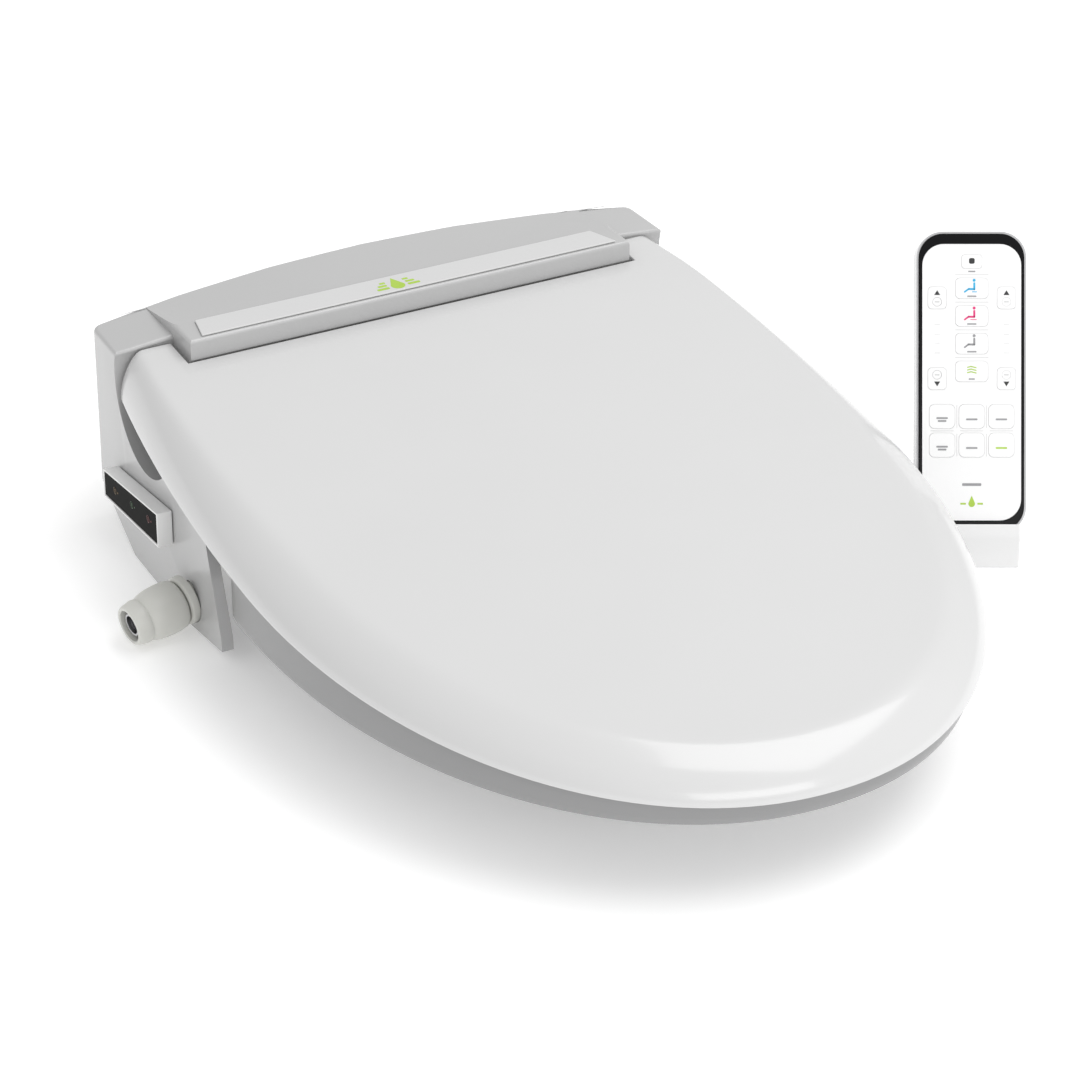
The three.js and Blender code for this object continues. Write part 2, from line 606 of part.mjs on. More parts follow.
const bumperSpots = [[-138, -150], [138, -150], [-105, -362], [105, -362]];
bumperSpots.forEach(([x, y], i) => {
  add(`seat_bumper_${i + 1}`, risen(roundedRect(10, 16, 9.5), 0.5, seatBottomZ, 4)
    .translate([x, y, 0]), rubber, 0.7);
});

// ---- Lid --------------------------------------------------------------------------------------------------
// How wide the rounded edge is at y: it gets narrower towards the hinge.
function edgeWidthAt(y) {
  const t = Math.min(1, Math.max(0, (y - lidWideY) / (hingeY - lidWideY)));
  return 1 - (1 - earEdge) * t;
}

// Plan of the lid, drawn in by part of its rounded edge and by the wall.
function lidPlan(inward, inset) {
  const points = [];
  for (let i = 0; i < 8; i += 1) {
    const y = 40 + (lidWideY - 40) * (i / 8);
    points.push([lidHalfAt(y, inset + inward * edgeWidthAt(y)), y]);
  }
  points.push(...frontEdge(inset + inward, 24));
  return mirrored(points);
}

function rimAt(y) {
  return rimFrontZ + rimSlope * (y - lidTipY);
}

function lidTopAt(y) {
  return lidTopFrontZ + lidTopSlope * (y - lidTipY);
}

const lidFrontHeight = lidTopFrontZ - rimFrontZ;

// The lid's edge in section at the tip: [in from the rim, up from the rim].
const lidSection = [
  [0, 0], [0.2, 2], [1, 4.2], [2.6, 7], [5, 10], [8, 12.8], [11.5, 15.3], [15, 17.3], [18.5, 18.9],
  [21.5, 19.9], [24.5, 20.45], [28, lidFrontHeight],
];

// A closed body through clockwise outlines with the same number of points, one above the other.
function lofted(levels) {
  const count = levels[0].points.length;
  const vertices = levels.flatMap(({ points, z }) => points.map(([x, y]) => [x, y, z]));
  const faces = [];
  for (let level = 0; level < levels.length - 1; level += 1) {
    for (let i = 0; i < count; i += 1) {
      const a = level * count + i;
      const b = level * count + (i + 1) % count;
      faces.push(a, a + count, b, b, a + count, b + count);
    }
  }
  for (const [level, up] of [[0, -1], [levels.length - 1, 1]]) {
    const flat = levels[level].points.map(([x, y]) => new THREE.Vector2(x, y));
    for (const [a, b, c] of THREE.ShapeUtils.triangulateShape(flat, [])) {
      const turn = THREE.ShapeUtils.area([flat[a], flat[b], flat[c]]) * up;
      const corners = turn > 0 ? [a, b, c] : [a, c, b];
      faces.push(...corners.map((corner) => level * count + corner));
    }
  }
  const geometry = new THREE.BufferGeometry();
  geometry.setAttribute('position', new THREE.Float32BufferAttribute(vertices.flat(), 3));
  geometry.setIndex(faces);
  return toManifold(geometry);
}

// The lid's full form drawn in by inset and lowered by drop.
function lidBlank(inset, drop) {
  return lofted(lidSection.map(([inward, rise]) => ({ points: lidPlan(inward, inset), z: rise - drop })));
}

let lidShell = cut(lidBlank(0, 0), lidBlank(lidWall, lidDrop));
lidShell = cut(lidShell, block(-300, 300, lidRearY, 120, -10, 90));
lidShell = cut(lidShell, block(-noseHalf - 2.5, noseHalf + 2.5, lidNotchY, 120, -10, 90));
lidShell = toManifold(reshaped(lidShell,
  (y, z) => rimAt(y) + z * (lidTopAt(y) - rimAt(y)) / lidFrontHeight));
for (const sign of [-1, 1]) {
  const x0 = sign > 0 ? lugX : -lugX - lugThick;
  const x1 = x0 + lugThick;
  const lug = join(barX(eyeR, x0, x1, hingeY, hingeZ, 32),
    block(x0, x1, hingeY - eyeR, hingeY + eyeR, hingeZ, lidTopAt(hingeY) - 5.5));
  lidShell = cut(join(lidShell, lug), barX(shaftR + gap, x0 - 1, x1 + 0.5, hingeY, hingeZ));
}
add('lid_shell', lidShell, 0xe3e3e3, 0.22);
for (const [name, x] of [['lid_bumper_left', -135], ['lid_bumper_right', 135]]) {
  const y = -340;
  add(name, risen(roundedRect(6, 9, 5.5), seatTopAt(y) + 1.5, lidTopAt(y) - lidWall - 1.6, 4)
    .translate([x, y, 0]), rubber, 0.7);
}

// ---- Remote control ---------------------------------------------------------------------------
// Its own frame: X to the right, Y up its length from the bottom edge, Z out of its face.
const remoteHalfW = 31;
const remoteLength = 170;
const remoteCorner = 15;
const caseDepth = 15;
const bezelTop = 20;
const faceTop = 20.6;
const faceHalfW = 27.8;
const faceHalfL = 77.8;
const keyTop = 20.8;
const rimTop = 18.6;                    // the case's rim stands round the bezel
const rimWide = 1.2;
const remoteTurn = THREE.MathUtils.degToRad(-28);
const remoteLean = THREE.MathUtils.degToRad(29.3);
const remoteFoot = new THREE.Vector3(247, -217, -16);

const remote = new THREE.Group();
remote.position.copy(remoteFoot);
remote.rotation.set(Math.PI / 2 - remoteLean, 0, remoteTurn, 'ZYX');
bidet.add(remote);

function remoteSlab(halfW, halfL, corner, z0, z1, segments = 5) {
  return risen(roundedRect(halfW, halfL, corner), z0, z1, segments).translate([0, remoteLength / 2, 0]);
}

function addRemote(name, solid, ...look) {
  return addTo(remote, name, toGeometry(solid), ...look);
}

const door = { half: 23, y0: 100, y1: 166, thick: 1.8 };
let back = cut(remoteSlab(remoteHalfW, remoteLength / 2, remoteCorner, 0, rimTop),
  remoteSlab(remoteHalfW - 2, remoteLength / 2 - 2, remoteCorner - 2, 4.5, caseDepth + 1),
  remoteSlab(remoteHalfW - rimWide, remoteLength / 2 - rimWide, remoteCorner - rimWide,
    caseDepth, rimTop + 1));
back = cut(back,
  block(-door.half - gap, door.half + gap, door.y0 - gap, remoteLength + 1, -1, door.thick + gap),
  block(-17, 17, 104, 158, -1, 6));
addRemote('remote_back', back, silver, 0.3, 0.4);
addRemote('battery_door', block(-door.half, door.half, door.y0, door.y1, 0, door.thick), silver, 0.35, 0.4);
for (const [name, x] of [['battery_left', -6], ['battery_right', 6]]) {
  addRemote(name, barY(5.2, x, 108, 152.5, 7.6, 20), steel, 0.35, 0.7);
}
addRemote('remote_board', remoteSlab(27, 79, 11, 13.2, 14.4), board, 0.6);
const bezelIn = rimWide + gap;
const bezelPlate = remoteSlab(remoteHalfW - bezelIn, remoteLength / 2 - bezelIn, remoteCorner - bezelIn,
  caseDepth + gap, bezelTop);
const faceOpening = remoteSlab(faceHalfW + gap, faceHalfL + gap, 12.3, caseDepth, bezelTop + 1);
addRemote('remote_bezel', cut(bezelPlate, faceOpening), black, 0.12);

// Keys: [name, across, up from the middle, half width, half height].
const arrowX = 19.5;
const gridX = 16.7;
const keys = [['key_stop', 0, 68, 5.5, 3.6]];
['key_wash', 'key_bidet', 'key_jet', 'key_dry'].forEach((name, i) => {
  keys.push([name, 0, 52.9 - i * 15.6, 9, 5.6]);
});
for (const [side, x] of [['left', -arrowX], ['right', arrowX]]) {
  keys.push([`key_${side}_up`, x, 47.5, 5, 6], [`key_${side}_down`, x, 2, 5, 6]);
}
for (let row = 0; row < 2; row += 1) {
  for (let column = 0; column < 3; column += 1) {
    keys.push([`key_grid_${row * 3 + column + 1}`, (column - 1) * gridX, -19.3 - row * 16.1, 7, 6.6]);
  }
}
let face = remoteSlab(faceHalfW, faceHalfL, 12, caseDepth + gap, faceTop);
for (const [name, x, y, halfW, halfH] of keys) {
  const place = [x, remoteLength / 2 + y, 0];
  const corner = Math.min(halfW, halfH) * 0.45;
  const hole = risen(roundedRect(halfW + gap, halfH + gap, corner), caseDepth, faceTop + 1, 2);
  face = cut(face, hole.translate(place));
  addRemote(name, risen(roundedRect(halfW, halfH, corner), caseDepth + 1.2, keyTop, 2).translate(place),
    0xf4f4f2, 0.4);
}
addRemote('remote_face', face, 0xf6f6f4, 0.3);

// The holder is one bent profile: a foot on the table, a rest behind the remote and a lip in front.
const holderHalfW = 27;
const restHeight = 60;
const lipHeight = 5;
const lipY = faceTop + gap;
const tableZ = skirtZ;

// A place in the remote's own frame, given as away from the viewer and height over the table.
function holderPoint(y, z) {
  return [y * Math.sin(remoteLean) - z * Math.cos(remoteLean),
    remoteFoot.z - tableZ + y * Math.cos(remoteLean) + z * Math.sin(remoteLean)];
}

const holderShape = outline([
  [-24, 0], [62, 0], [62, 4], [6, 4],
  holderPoint(restHeight, -3.5), holderPoint(restHeight, -gap), holderPoint(-gap, -gap),
  holderPoint(-gap, lipY), holderPoint(lipHeight, lipY), holderPoint(lipHeight, lipY + 3),
  holderPoint(-4, lipY + 3),
]);
const holder = new THREE.Group();
holder.position.set(remoteFoot.x, remoteFoot.y, tableZ);
holder.rotation.z = remoteTurn;
bidet.add(holder);
addTo(holder, 'remote_holder', toGeometry(alongX(holderShape, -holderHalfW, holderHalfW)), 0xe8e8e6, 0.35);

export default bidet;
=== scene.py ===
"""Looks of an electric bidet seat and its remote control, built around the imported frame.

All lengths inside the builders are millimetres; meshes are scaled to metres when they are made.
The origin lies on the bowl's deck between the seat bolts, and the user sits facing -Y.
"""
import json
import math

import bmesh
import bpy
from bpy.props import FloatProperty, FloatVectorProperty, PointerProperty
from bpy.types import Operator, Panel, PropertyGroup
from mathutils import Matrix, Vector

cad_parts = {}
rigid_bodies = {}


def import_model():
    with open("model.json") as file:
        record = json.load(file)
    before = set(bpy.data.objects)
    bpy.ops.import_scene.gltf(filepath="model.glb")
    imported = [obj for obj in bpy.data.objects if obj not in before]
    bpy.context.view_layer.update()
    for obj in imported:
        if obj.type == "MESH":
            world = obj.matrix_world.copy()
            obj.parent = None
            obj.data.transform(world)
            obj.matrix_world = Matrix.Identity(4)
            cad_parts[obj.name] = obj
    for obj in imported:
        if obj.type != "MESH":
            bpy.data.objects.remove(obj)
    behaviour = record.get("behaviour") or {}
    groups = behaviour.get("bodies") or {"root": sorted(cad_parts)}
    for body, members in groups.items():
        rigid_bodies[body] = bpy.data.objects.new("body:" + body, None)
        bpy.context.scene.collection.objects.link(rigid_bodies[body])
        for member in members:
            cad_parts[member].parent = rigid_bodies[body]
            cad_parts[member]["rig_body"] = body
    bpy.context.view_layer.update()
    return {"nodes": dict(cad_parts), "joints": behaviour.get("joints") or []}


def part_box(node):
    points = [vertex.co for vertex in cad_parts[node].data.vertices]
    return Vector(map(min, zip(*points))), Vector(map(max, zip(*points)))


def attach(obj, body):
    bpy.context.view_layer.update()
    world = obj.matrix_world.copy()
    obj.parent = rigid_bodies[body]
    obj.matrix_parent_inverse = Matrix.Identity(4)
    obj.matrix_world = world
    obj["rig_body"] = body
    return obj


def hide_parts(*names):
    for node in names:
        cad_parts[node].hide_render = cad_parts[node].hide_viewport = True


bl_info = {
    "name": "Electric bidet seat",
    "version": (1, 0, 0),
    "blender": (4, 5, 0),
    "location": "View3D > Sidebar > Bidet seat",
    "description": "Builds the lid, seat, housing, fittings and remote control of an electric bidet seat",
    "category": "Object",
}

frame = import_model()
joints = {joint["name"]: joint for joint in frame["joints"]}

MM = 0.001


def box_mm(node):
    """Lowest and highest corner of a node, in millimetres."""
    low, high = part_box(node)
    return low / MM, high / MM


def centre_mm(node):
    low, high = box_mm(node)
    return (low + high) / 2


# ---------------------------------------------------------------------------------------------
# Sizes and colours that a user may change
# ---------------------------------------------------------------------------------------------
class BidetSizes(PropertyGroup):
    lid_wall: FloatProperty(name="Lid wall", description="Thickness of the lid's shell",
                            default=2.8 * MM, unit="LENGTH")
    lid_crown: FloatProperty(name="Lid crown", description="Rise of the lid's middle over its edges",
                             default=1.5 * MM, unit="LENGTH")
    seat_wall: FloatProperty(name="Seat wall", description="Thickness of the seat's shell",
                             default=2.6 * MM, unit="LENGTH")
    seat_dish: FloatProperty(name="Seat dish", description="Depth of the hollow along the seat's top",
                             default=3.0 * MM, unit="LENGTH")
    housing_edge: FloatProperty(name="Housing edge", description="Rounding of the housing's top edge",
                                default=2.2 * MM, unit="LENGTH")
    small_edge: FloatProperty(name="Small edge", description="Rounding of the other moulded edges",
                              default=0.6 * MM, unit="LENGTH")
    print_height: FloatProperty(name="Print height", description="Thickness of the printed marks",
                                default=0.06 * MM, unit="LENGTH")


def colour(name, description, default):
    return FloatVectorProperty(name=name, description=description, default=default,
                               subtype="COLOR", size=3, min=0, max=1)


class BidetColours(PropertyGroup):
    lid: colour("Lid", "White of the lid", (0.66, 0.66, 0.66))
    # The housing's white is darker than the lid's, though both are the same white plastic: painted shade
    # on its walls and rear top.
    housing: colour("Housing", "White of the housing", (0.50, 0.50, 0.50))
    # The seat's white is darkened to a mid grey: painted shade of the lid over the seat ring.
    seat: colour("Seat", "White of the seat", (0.28, 0.28, 0.282))
    trim: colour("Trim", "White of the band on the nose and of the nozzle's head", (0.64, 0.64, 0.64))
    # The surround's white is raised above the other whites: painted light on its top, which the housing
    # shades from the side light.
    surround: colour("Surround", "Bright white of the display surround", (0.93, 0.93, 0.925))
    fitting: colour("Fitting", "Warm white of the water inlet", (0.68, 0.68, 0.64))
    floor: colour("Floor", "Pale studio floor", (0.95, 0.95, 0.95))
    accent: colour("Accent", "Green of the marks", (0.40, 0.60, 0.06))
    wash: colour("Wash", "Blue of the wash pictogram", (0.02, 0.42, 0.72))
    bidet: colour("Bidet", "Pink of the second pictogram", (0.75, 0.03, 0.20))


def sizes():
    return bpy.context.scene.bidet_sizes


def colours():
    return bpy.context.scene.bidet_colours


# ---------------------------------------------------------------------------------------------
# Shader groups and materials
# ---------------------------------------------------------------------------------------------
def new_group(name, inputs, outputs):
    """An empty shader group with float inputs [(name, default)] and float outputs [name]."""
    group = bpy.data.node_groups.new(name, "ShaderNodeTree")
    for socket, default in inputs:
        item = group.interface.new_socket(name=socket, in_out="INPUT", socket_type="NodeSocketFloat")
        item.default_value = default
    for socket in outputs:
        group.interface.new_socket(name=socket, in_out="OUTPUT", socket_type="NodeSocketFloat")
    return group, group.nodes.new("NodeGroupInput"), group.nodes.new("NodeGroupOutput")


def math_node(tree, operation, first, second):
    node = tree.nodes.new("ShaderNodeMath")
    node.operation = operation
    for socket, value in zip(node.inputs, (first, second)):
        if isinstance(value, (int, float)):
            socket.default_value = value
        else:
            tree.links.new(value, socket)
    return node.outputs[0]


def noise_node(tree, vector, scale, detail=2.0):
    node = tree.nodes.new("ShaderNodeTexNoise")
    node.inputs["Detail"].default_value = detail
    if isinstance(scale, (int, float)):
        node.inputs["Scale"].default_value = scale
    else:
        tree.links.new(scale, node.inputs["Scale"])
    tree.links.new(vector, node.inputs["Vector"])
    return node.outputs["Fac"]


def moulded_skin_group():
    """Moulded plastic: a fine orange-peel height and a slow cloud that varies tone and gloss."""
    group, given, result = new_group(
        "Moulded skin", [("Grain", 700.0), ("Cloud", 9.0)], ["Height", "Tone", "Edge"])
    place = group.nodes.new("ShaderNodeTexCoord").outputs["Object"]
    fine = noise_node(group, place, given.outputs["Grain"], 3.0)
    slow = noise_node(group, place, given.outputs["Cloud"], 4.0)
    group.links.new(math_node(group, "ADD", fine, math_node(group, "MULTIPLY", slow, 0.35)),
                    result.inputs["Height"])
    group.links.new(slow, result.inputs["Tone"])
    # Lighter colour where the surface is sharply convex, broken up by the fine grain.
    point = group.nodes.new("ShaderNodeNewGeometry").outputs["Pointiness"]
    convex_lift = math_node(group, "MULTIPLY", math_node(group, "SUBTRACT", point, 0.52), 8.0)
    clamp = group.nodes.new("ShaderNodeClamp")
    group.links.new(math_node(group, "MULTIPLY", convex_lift, fine), clamp.inputs["Value"])
    group.links.new(clamp.outputs["Result"], result.inputs["Edge"])
    return group


def brushed_group():
    """Brushed metal: streaks along one axis."""
    group, given, result = new_group("Brushed streaks", [("Streaks", 900.0)], ["Height", "Tone"])
    mapping = group.nodes.new("ShaderNodeMapping")
    mapping.inputs["Scale"].default_value = (0.03, 1.0, 1.0)
    coords = group.nodes.new("ShaderNodeTexCoord")
    group.links.new(coords.outputs["Object"], mapping.inputs["Vector"])
    streak = noise_node(group, mapping.outputs["Vector"], given.outputs["Streaks"], 5.0)
    group.links.new(streak, result.inputs["Height"])
    group.links.new(noise_node(group, coords.outputs["Object"], 30.0, 3.0), result.inputs["Tone"])
    return group


groups = {}
materials = {}


def placed_group(tree, key, **values):
    node = tree.nodes.new("ShaderNodeGroup")
    node.node_tree = groups[key]
    for name, value in values.items():
        node.inputs[name].default_value = value
    return node


def blank_material(name):
    material = bpy.data.materials.new(name)
    material.use_nodes = True
    shader = material.node_tree.nodes["Principled BSDF"]
    materials[name] = material
    return material.node_tree, shader


def two_tones(tree, shader, mask, light, dark):
    """Base colour that runs from dark to light with the mask."""
    mix = tree.nodes.new("ShaderNodeMix")
    mix.data_type = "RGBA"
    mix.inputs["A"].default_value = (*dark, 1)
    mix.inputs["B"].default_value = (*light, 1)
    tree.links.new(mask, mix.inputs["Factor"])
    tree.links.new(mix.outputs["Result"], shader.inputs["Base Color"])
    return mix


def varied_roughness(tree, shader, mask, low, high):
    spread = tree.nodes.new("ShaderNodeMapRange")
    spread.inputs["To Min"].default_value = low
    spread.inputs["To Max"].default_value = high
    tree.links.new(mask, spread.inputs["Value"])
    tree.links.new(spread.outputs["Result"], shader.inputs["Roughness"])


def bumped(tree, shader, height, strength, distance):
    bump = tree.nodes.new("ShaderNodeBump")
    bump.inputs["Strength"].default_value = strength
    bump.inputs["Distance"].default_value = distance
    tree.links.new(height, bump.inputs["Height"])
    tree.links.new(bump.outputs["Normal"], shader.inputs["Normal"])


def darker(rgb, factor):
    return tuple(channel * factor for channel in rgb)


def moulded(name, rgb, rough, spread=0.06, coat=0.0, grain=700.0, relief=0.02, fade=0.96, shine=0.5):
    """A moulded plastic with grain, slow tone changes and slightly lighter edges."""
    tree, shader = blank_material(name)
    skin = placed_group(tree, "skin", Grain=grain)
    mix = two_tones(tree, shader, skin.outputs["Tone"], rgb, darker(rgb, fade))
    edge = tree.nodes.new("ShaderNodeMix")
    edge.data_type = "RGBA"
    edge.inputs["B"].default_value = (*(min(1.0, c * 1.06 + 0.01) for c in rgb), 1)
    tree.links.new(mix.outputs["Result"], edge.inputs["A"])
    tree.links.new(skin.outputs["Edge"], edge.inputs["Factor"])
    tree.links.new(edge.outputs["Result"], shader.inputs["Base Color"])
    varied_roughness(tree, shader, skin.outputs["Tone"], rough - spread / 2, rough + spread / 2)
    bumped(tree, shader, skin.outputs["Height"], relief, BUMP_DEPTH)
    shader.inputs["Coat Weight"].default_value = coat
    shader.inputs["Coat Roughness"].default_value = COAT_ROUGHNESS
    shader.inputs["Specular IOR Level"].default_value = shine
    return materials[name]


def brushed(name, rgb, rough):
    tree, shader = blank_material(name)
    streaks = placed_group(tree, "brushed")
    two_tones(tree, shader, streaks.outputs["Height"], rgb, darker(rgb, 0.72))
    varied_roughness(tree, shader, streaks.outputs["Tone"], rough - 0.06, rough + 0.08)
    bumped(tree, shader, streaks.outputs["Height"], 0.12, FINE_BUMP_DEPTH)
    shader.inputs["Metallic"].default_value = 1.0


def circuit(name):
    """Green solder mask with paler copper tracks under it."""
    tree, shader = blank_material(name)
    coords = tree.nodes.new("ShaderNodeTexCoord").outputs["Object"]
    cells = tree.nodes.new("ShaderNodeTexVoronoi")
    cells.distance = "CHEBYCHEV"
    cells.feature = "DISTANCE_TO_EDGE"
    cells.inputs["Scale"].default_value = 320.0
    tree.links.new(coords, cells.inputs["Vector"])
    track = math_node(tree, "LESS_THAN", cells.outputs["Distance"], 0.09)
    two_tones(tree, shader, track, (0.10, 0.33, 0.13), (0.02, 0.15, 0.06))
    varied_roughness(tree, shader, noise_node(tree, coords, 120.0), 0.3, 0.45)
    bumped(tree, shader, track, 0.3, FINE_BUMP_DEPTH)


def heater_film(name):
    """Amber film with a printed heating track in bands."""
    tree, shader = blank_material(name)
    coords = tree.nodes.new("ShaderNodeTexCoord").outputs["Object"]
    bands = tree.nodes.new("ShaderNodeTexWave")
    bands.inputs["Scale"].default_value = 60.0
    bands.inputs["Distortion"].default_value = 1.5
    tree.links.new(coords, bands.inputs["Vector"])
    two_tones(tree, shader, bands.outputs["Fac"], (0.72, 0.44, 0.10), (0.42, 0.24, 0.05))
    varied_roughness(tree, shader, noise_node(tree, coords, 60.0), 0.28, 0.42)
    bumped(tree, shader, bands.outputs["Fac"], 0.2, FINE_BUMP_DEPTH)


FLOOR_GLOW = 0.25                       # the floor is a softly lit studio table
BUMP_DEPTH = 0.0002                     # metres
FINE_BUMP_DEPTH = 0.0001
COAT_ROUGHNESS = 0.06


def make_materials():
    tones = colours()
    groups["skin"] = moulded_skin_group()
    groups["brushed"] = brushed_group()
    moulded("lid_gloss", tuple(tones.lid), 0.20, coat=0.25)
    # The housing's finish uses the darker housing white, painted shade against the lid's white.
    moulded("housing_gloss_shaded", tuple(tones.housing), 0.26, coat=0.15)
    # The seat takes the darkened seat colour, painted shade from the lid above it.
    moulded("seat_gloss_shaded", tuple(tones.seat), 0.30, coat=0.1)
    moulded("trim_satin", tuple(tones.trim), 0.32)
    # The surround's finish uses the raised surround white, painted light on the display surround.
    moulded("surround_white_lit", tuple(tones.surround), 0.30)
    moulded("stand_satin", (0.78, 0.78, 0.78), 0.38)
    moulded("inner_matt", (0.62, 0.62, 0.60), 0.55, relief=0.08, grain=1200.0)
    moulded("fitting_matt", tuple(tones.fitting), 0.36, relief=0.05, fade=0.88)
    moulded("soft_rubber", (0.33, 0.33, 0.33), 0.78, relief=0.15, grain=1600.0, fade=0.85)
    moulded("black_gloss", (0.004, 0.004, 0.005), 0.22, shine=0.15, fade=0.7, relief=0.004)
    moulded("dark_window", (0.003, 0.003, 0.0025), 0.3, shine=0.01, fade=0.6, relief=0.004)
    moulded("dark_case", (0.018, 0.018, 0.020), 0.42, relief=0.1, grain=1500.0, fade=0.8)
    moulded("case_rim", (0.55, 0.55, 0.56), 0.25, coat=0.4)
    moulded("face_white", (0.90, 0.90, 0.90), 0.34, relief=0.01)
    moulded("key_white", (0.90, 0.90, 0.90), 0.36, relief=0.01)
    floor = moulded("floor_pale", tuple(tones.floor), 0.75, relief=0.02, grain=200.0, fade=0.99)
    glow = floor.node_tree.nodes["Principled BSDF"]
    glow.inputs["Emission Color"].default_value = (1, 1, 1, 1)
    glow.inputs["Emission Strength"].default_value = FLOOR_GLOW
    brushed("steel", (0.62, 0.62, 0.63), 0.28)
    brushed("copper", (0.75, 0.38, 0.22), 0.32)
    circuit("circuit_green")
    heater_film("heater_film")
    inks = {
        "ink_black": (0.02, 0.02, 0.022), "ink_grey": (0.30, 0.30, 0.31), "ink_pale": (0.62, 0.62, 0.62),
        "ink_green": tuple(tones.accent), "ink_blue": tuple(tones.wash), "ink_pink": tuple(tones.bidet),
        "lamp_amber": (0.16, 0.09, 0.02), "lamp_green": (0.03, 0.10, 0.03), "lamp_red": (0.14, 0.02, 0.02),
        # near-black ink for the discs that stand as painted shade of the nozzle's spray holes
        "painted_hole_shade": (0.01, 0.01, 0.01),
    }
    for name, rgb in inks.items():
        moulded(name, rgb, 0.45, relief=0.01, fade=0.85)


# ---------------------------------------------------------------------------------------------
# Mesh helpers
# ---------------------------------------------------------------------------------------------
SHARP = math.radians(32)                # edges sharper than this look sharp
SLIGHT = math.radians(4)                # and so do these, where they border a large flat face
LARGE_FLAT = 60                         # how many times larger than its neighbour such a face is
FLAT = math.radians(0.4)                # faces that meet at less than this are joined up
ROUNDED = math.radians(38)              # edges sharper than this get the small rounding
ROUNDED_WIDE = math.radians(40)         # and sharper than this the wide one, where asked


def meets_large_flat(edge):
    """Whether one of the edge's faces is many times larger than the other."""
    areas = sorted(face.calc_area() for face in edge.link_faces)
    return areas[1] > LARGE_FLAT * areas[0]


def finish_mesh(bm):
    """Faces smooth; sharp edges, and the borders of large flat faces, kept sharp."""
    bmesh.ops.recalc_face_normals(bm, faces=bm.faces)
    for face in bm.faces:
        face.smooth = True
    for edge in bm.edges:
        if len(edge.link_faces) == 2:
            angle = edge.calc_face_angle(0)
            edge.smooth = angle < SHARP and not (angle > SLIGHT and meets_large_flat(edge))


def piece_from(bm, name, body, material, replaced=(), metres=False):
    """Turns a bmesh into a piece that rides on a body and stands for the replaced nodes."""
    if not metres:
        bmesh.ops.scale(bm, vec=(MM, MM, MM), verts=bm.verts)
    mesh = bpy.data.meshes.new(name)
    finish_mesh(bm)
    bm.to_mesh(mesh)
    bm.free()
    piece = bpy.data.objects.new(name, mesh)
    bpy.context.scene.collection.objects.link(piece)
    mesh.materials.append(materials[material])
    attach(piece, body)
    if replaced:
        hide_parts(*replaced)
    return piece


def modified(piece, kind, **settings):
    modifier = piece.modifiers.new(kind.title(), kind)
    for name, value in settings.items():
        setattr(modifier, name, value)


def settle(piece):
    """Applies the piece's modifiers and sets its smooth and sharp edges again."""
    depsgraph = bpy.context.evaluated_depsgraph_get()
    mesh = bpy.data.meshes.new_from_object(piece.evaluated_get(depsgraph))
    old = piece.data
    piece.modifiers.clear()
    piece.data = mesh
    bpy.data.meshes.remove(old)
    bm = bmesh.new()
    bm.from_mesh(mesh)
    finish_mesh(bm)
    bm.to_mesh(mesh)
    bm.free()


def any_edge(edge):
    return True


def sharp_edges(bm, limit, keep=any_edge):
    return [edge for edge in bm.edges
            if len(edge.link_faces) == 2 and edge.calc_face_angle(0) > limit and keep(edge)]


def softened(node, name, material, width, segments=2, keep=any_edge, wide=0.0, wide_where=any_edge):
    """A node's own form with its flat faces joined up and its edges rounded."""
    body = frame["nodes"][node]["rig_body"]
    bm = bmesh.new()
    bm.from_mesh(frame["nodes"][node].data)
    bmesh.ops.remove_doubles(bm, verts=bm.verts, dist=1e-6)
    bmesh.ops.dissolve_limit(bm, angle_limit=FLAT, verts=bm.verts, edges=bm.edges)
    if wide:
        edges = sharp_edges(bm, ROUNDED_WIDE, wide_where)
        bmesh.ops.bevel(bm, geom=edges, offset=wide, segments=4, profile=0.5, affect="EDGES",
                        clamp_overlap=False)
    edges = sharp_edges(bm, ROUNDED, keep)
    if width and edges:
        bmesh.ops.bevel(bm, geom=edges, offset=width, segments=segments, profile=0.5, affect="EDGES",
                        clamp_overlap=True)
    return piece_from(bm, name, body, material, (node,), metres=True)


def circle(radius, sides):
    """Points [x, y] evenly round a circle about the origin."""
    return [(radius * math.cos(a), radius * math.sin(a))
            for a in (2 * math.pi * i / sides for i in range(sides))]


def loft(bm, rings, closed=True):
    """Joins rings of equal length with quads. None marks a place where a ring has no point."""
    made = [[bm.verts.new(point) if point is not None else None for point in ring] for ring in rings]
    for low, high in zip(made, made[1:]):
        count = len(low)
        for i in range(count if closed else count - 1):
            corners = [low[i], low[(i + 1) % count], high[(i + 1) % count], high[i]]
            if None not in corners:
                bm.faces.new(corners)
    return made


def lathe(bm, profile, place, sides=64):
    """Turns [radius, out] about the Z axis of the place matrix."""
    rings = []
    for radius, out in profile:
        rings.append([place @ Vector((x, y, out)) for x, y in circle(radius, sides)])
    loft(bm, rings)


def axis_frame(origin, direction):
    """A matrix whose Z axis runs along the direction."""
    turn = Vector(direction).normalized().to_track_quat("Z", "Y").to_matrix().to_4x4()
    return Matrix.Translation(origin) @ turn


def slab(bm, outline, place, z0, z1):
    """An outline in the X and Y of the place matrix, raised from z0 to z1."""
    low = [bm.verts.new(place @ Vector((x, y, z0))) for x, y in outline]
    high = [bm.verts.new(place @ Vector((x, y, z1))) for x, y in outline]
    bm.faces.new(list(reversed(low)))
    bm.faces.new(high)
    for i, corner in enumerate(low):
        j = (i + 1) % len(low)
        bm.faces.new([corner, low[j], high[j], high[i]])


def round_rect(half_w, half_h, radius, steps=6):
    """The outline of a rectangle with round corners, about its middle."""
    points = []
    for cx, cy, start in ((1, -1, -90), (1, 1, 0), (-1, 1, 90), (-1, -1, 180)):
        for i in range(steps + 1):
            angle = math.radians(start + 90 * i / steps)
            points.append((cx * (half_w - radius) + radius * math.cos(angle),
                           cy * (half_h - radius) + radius * math.sin(angle)))
    return points


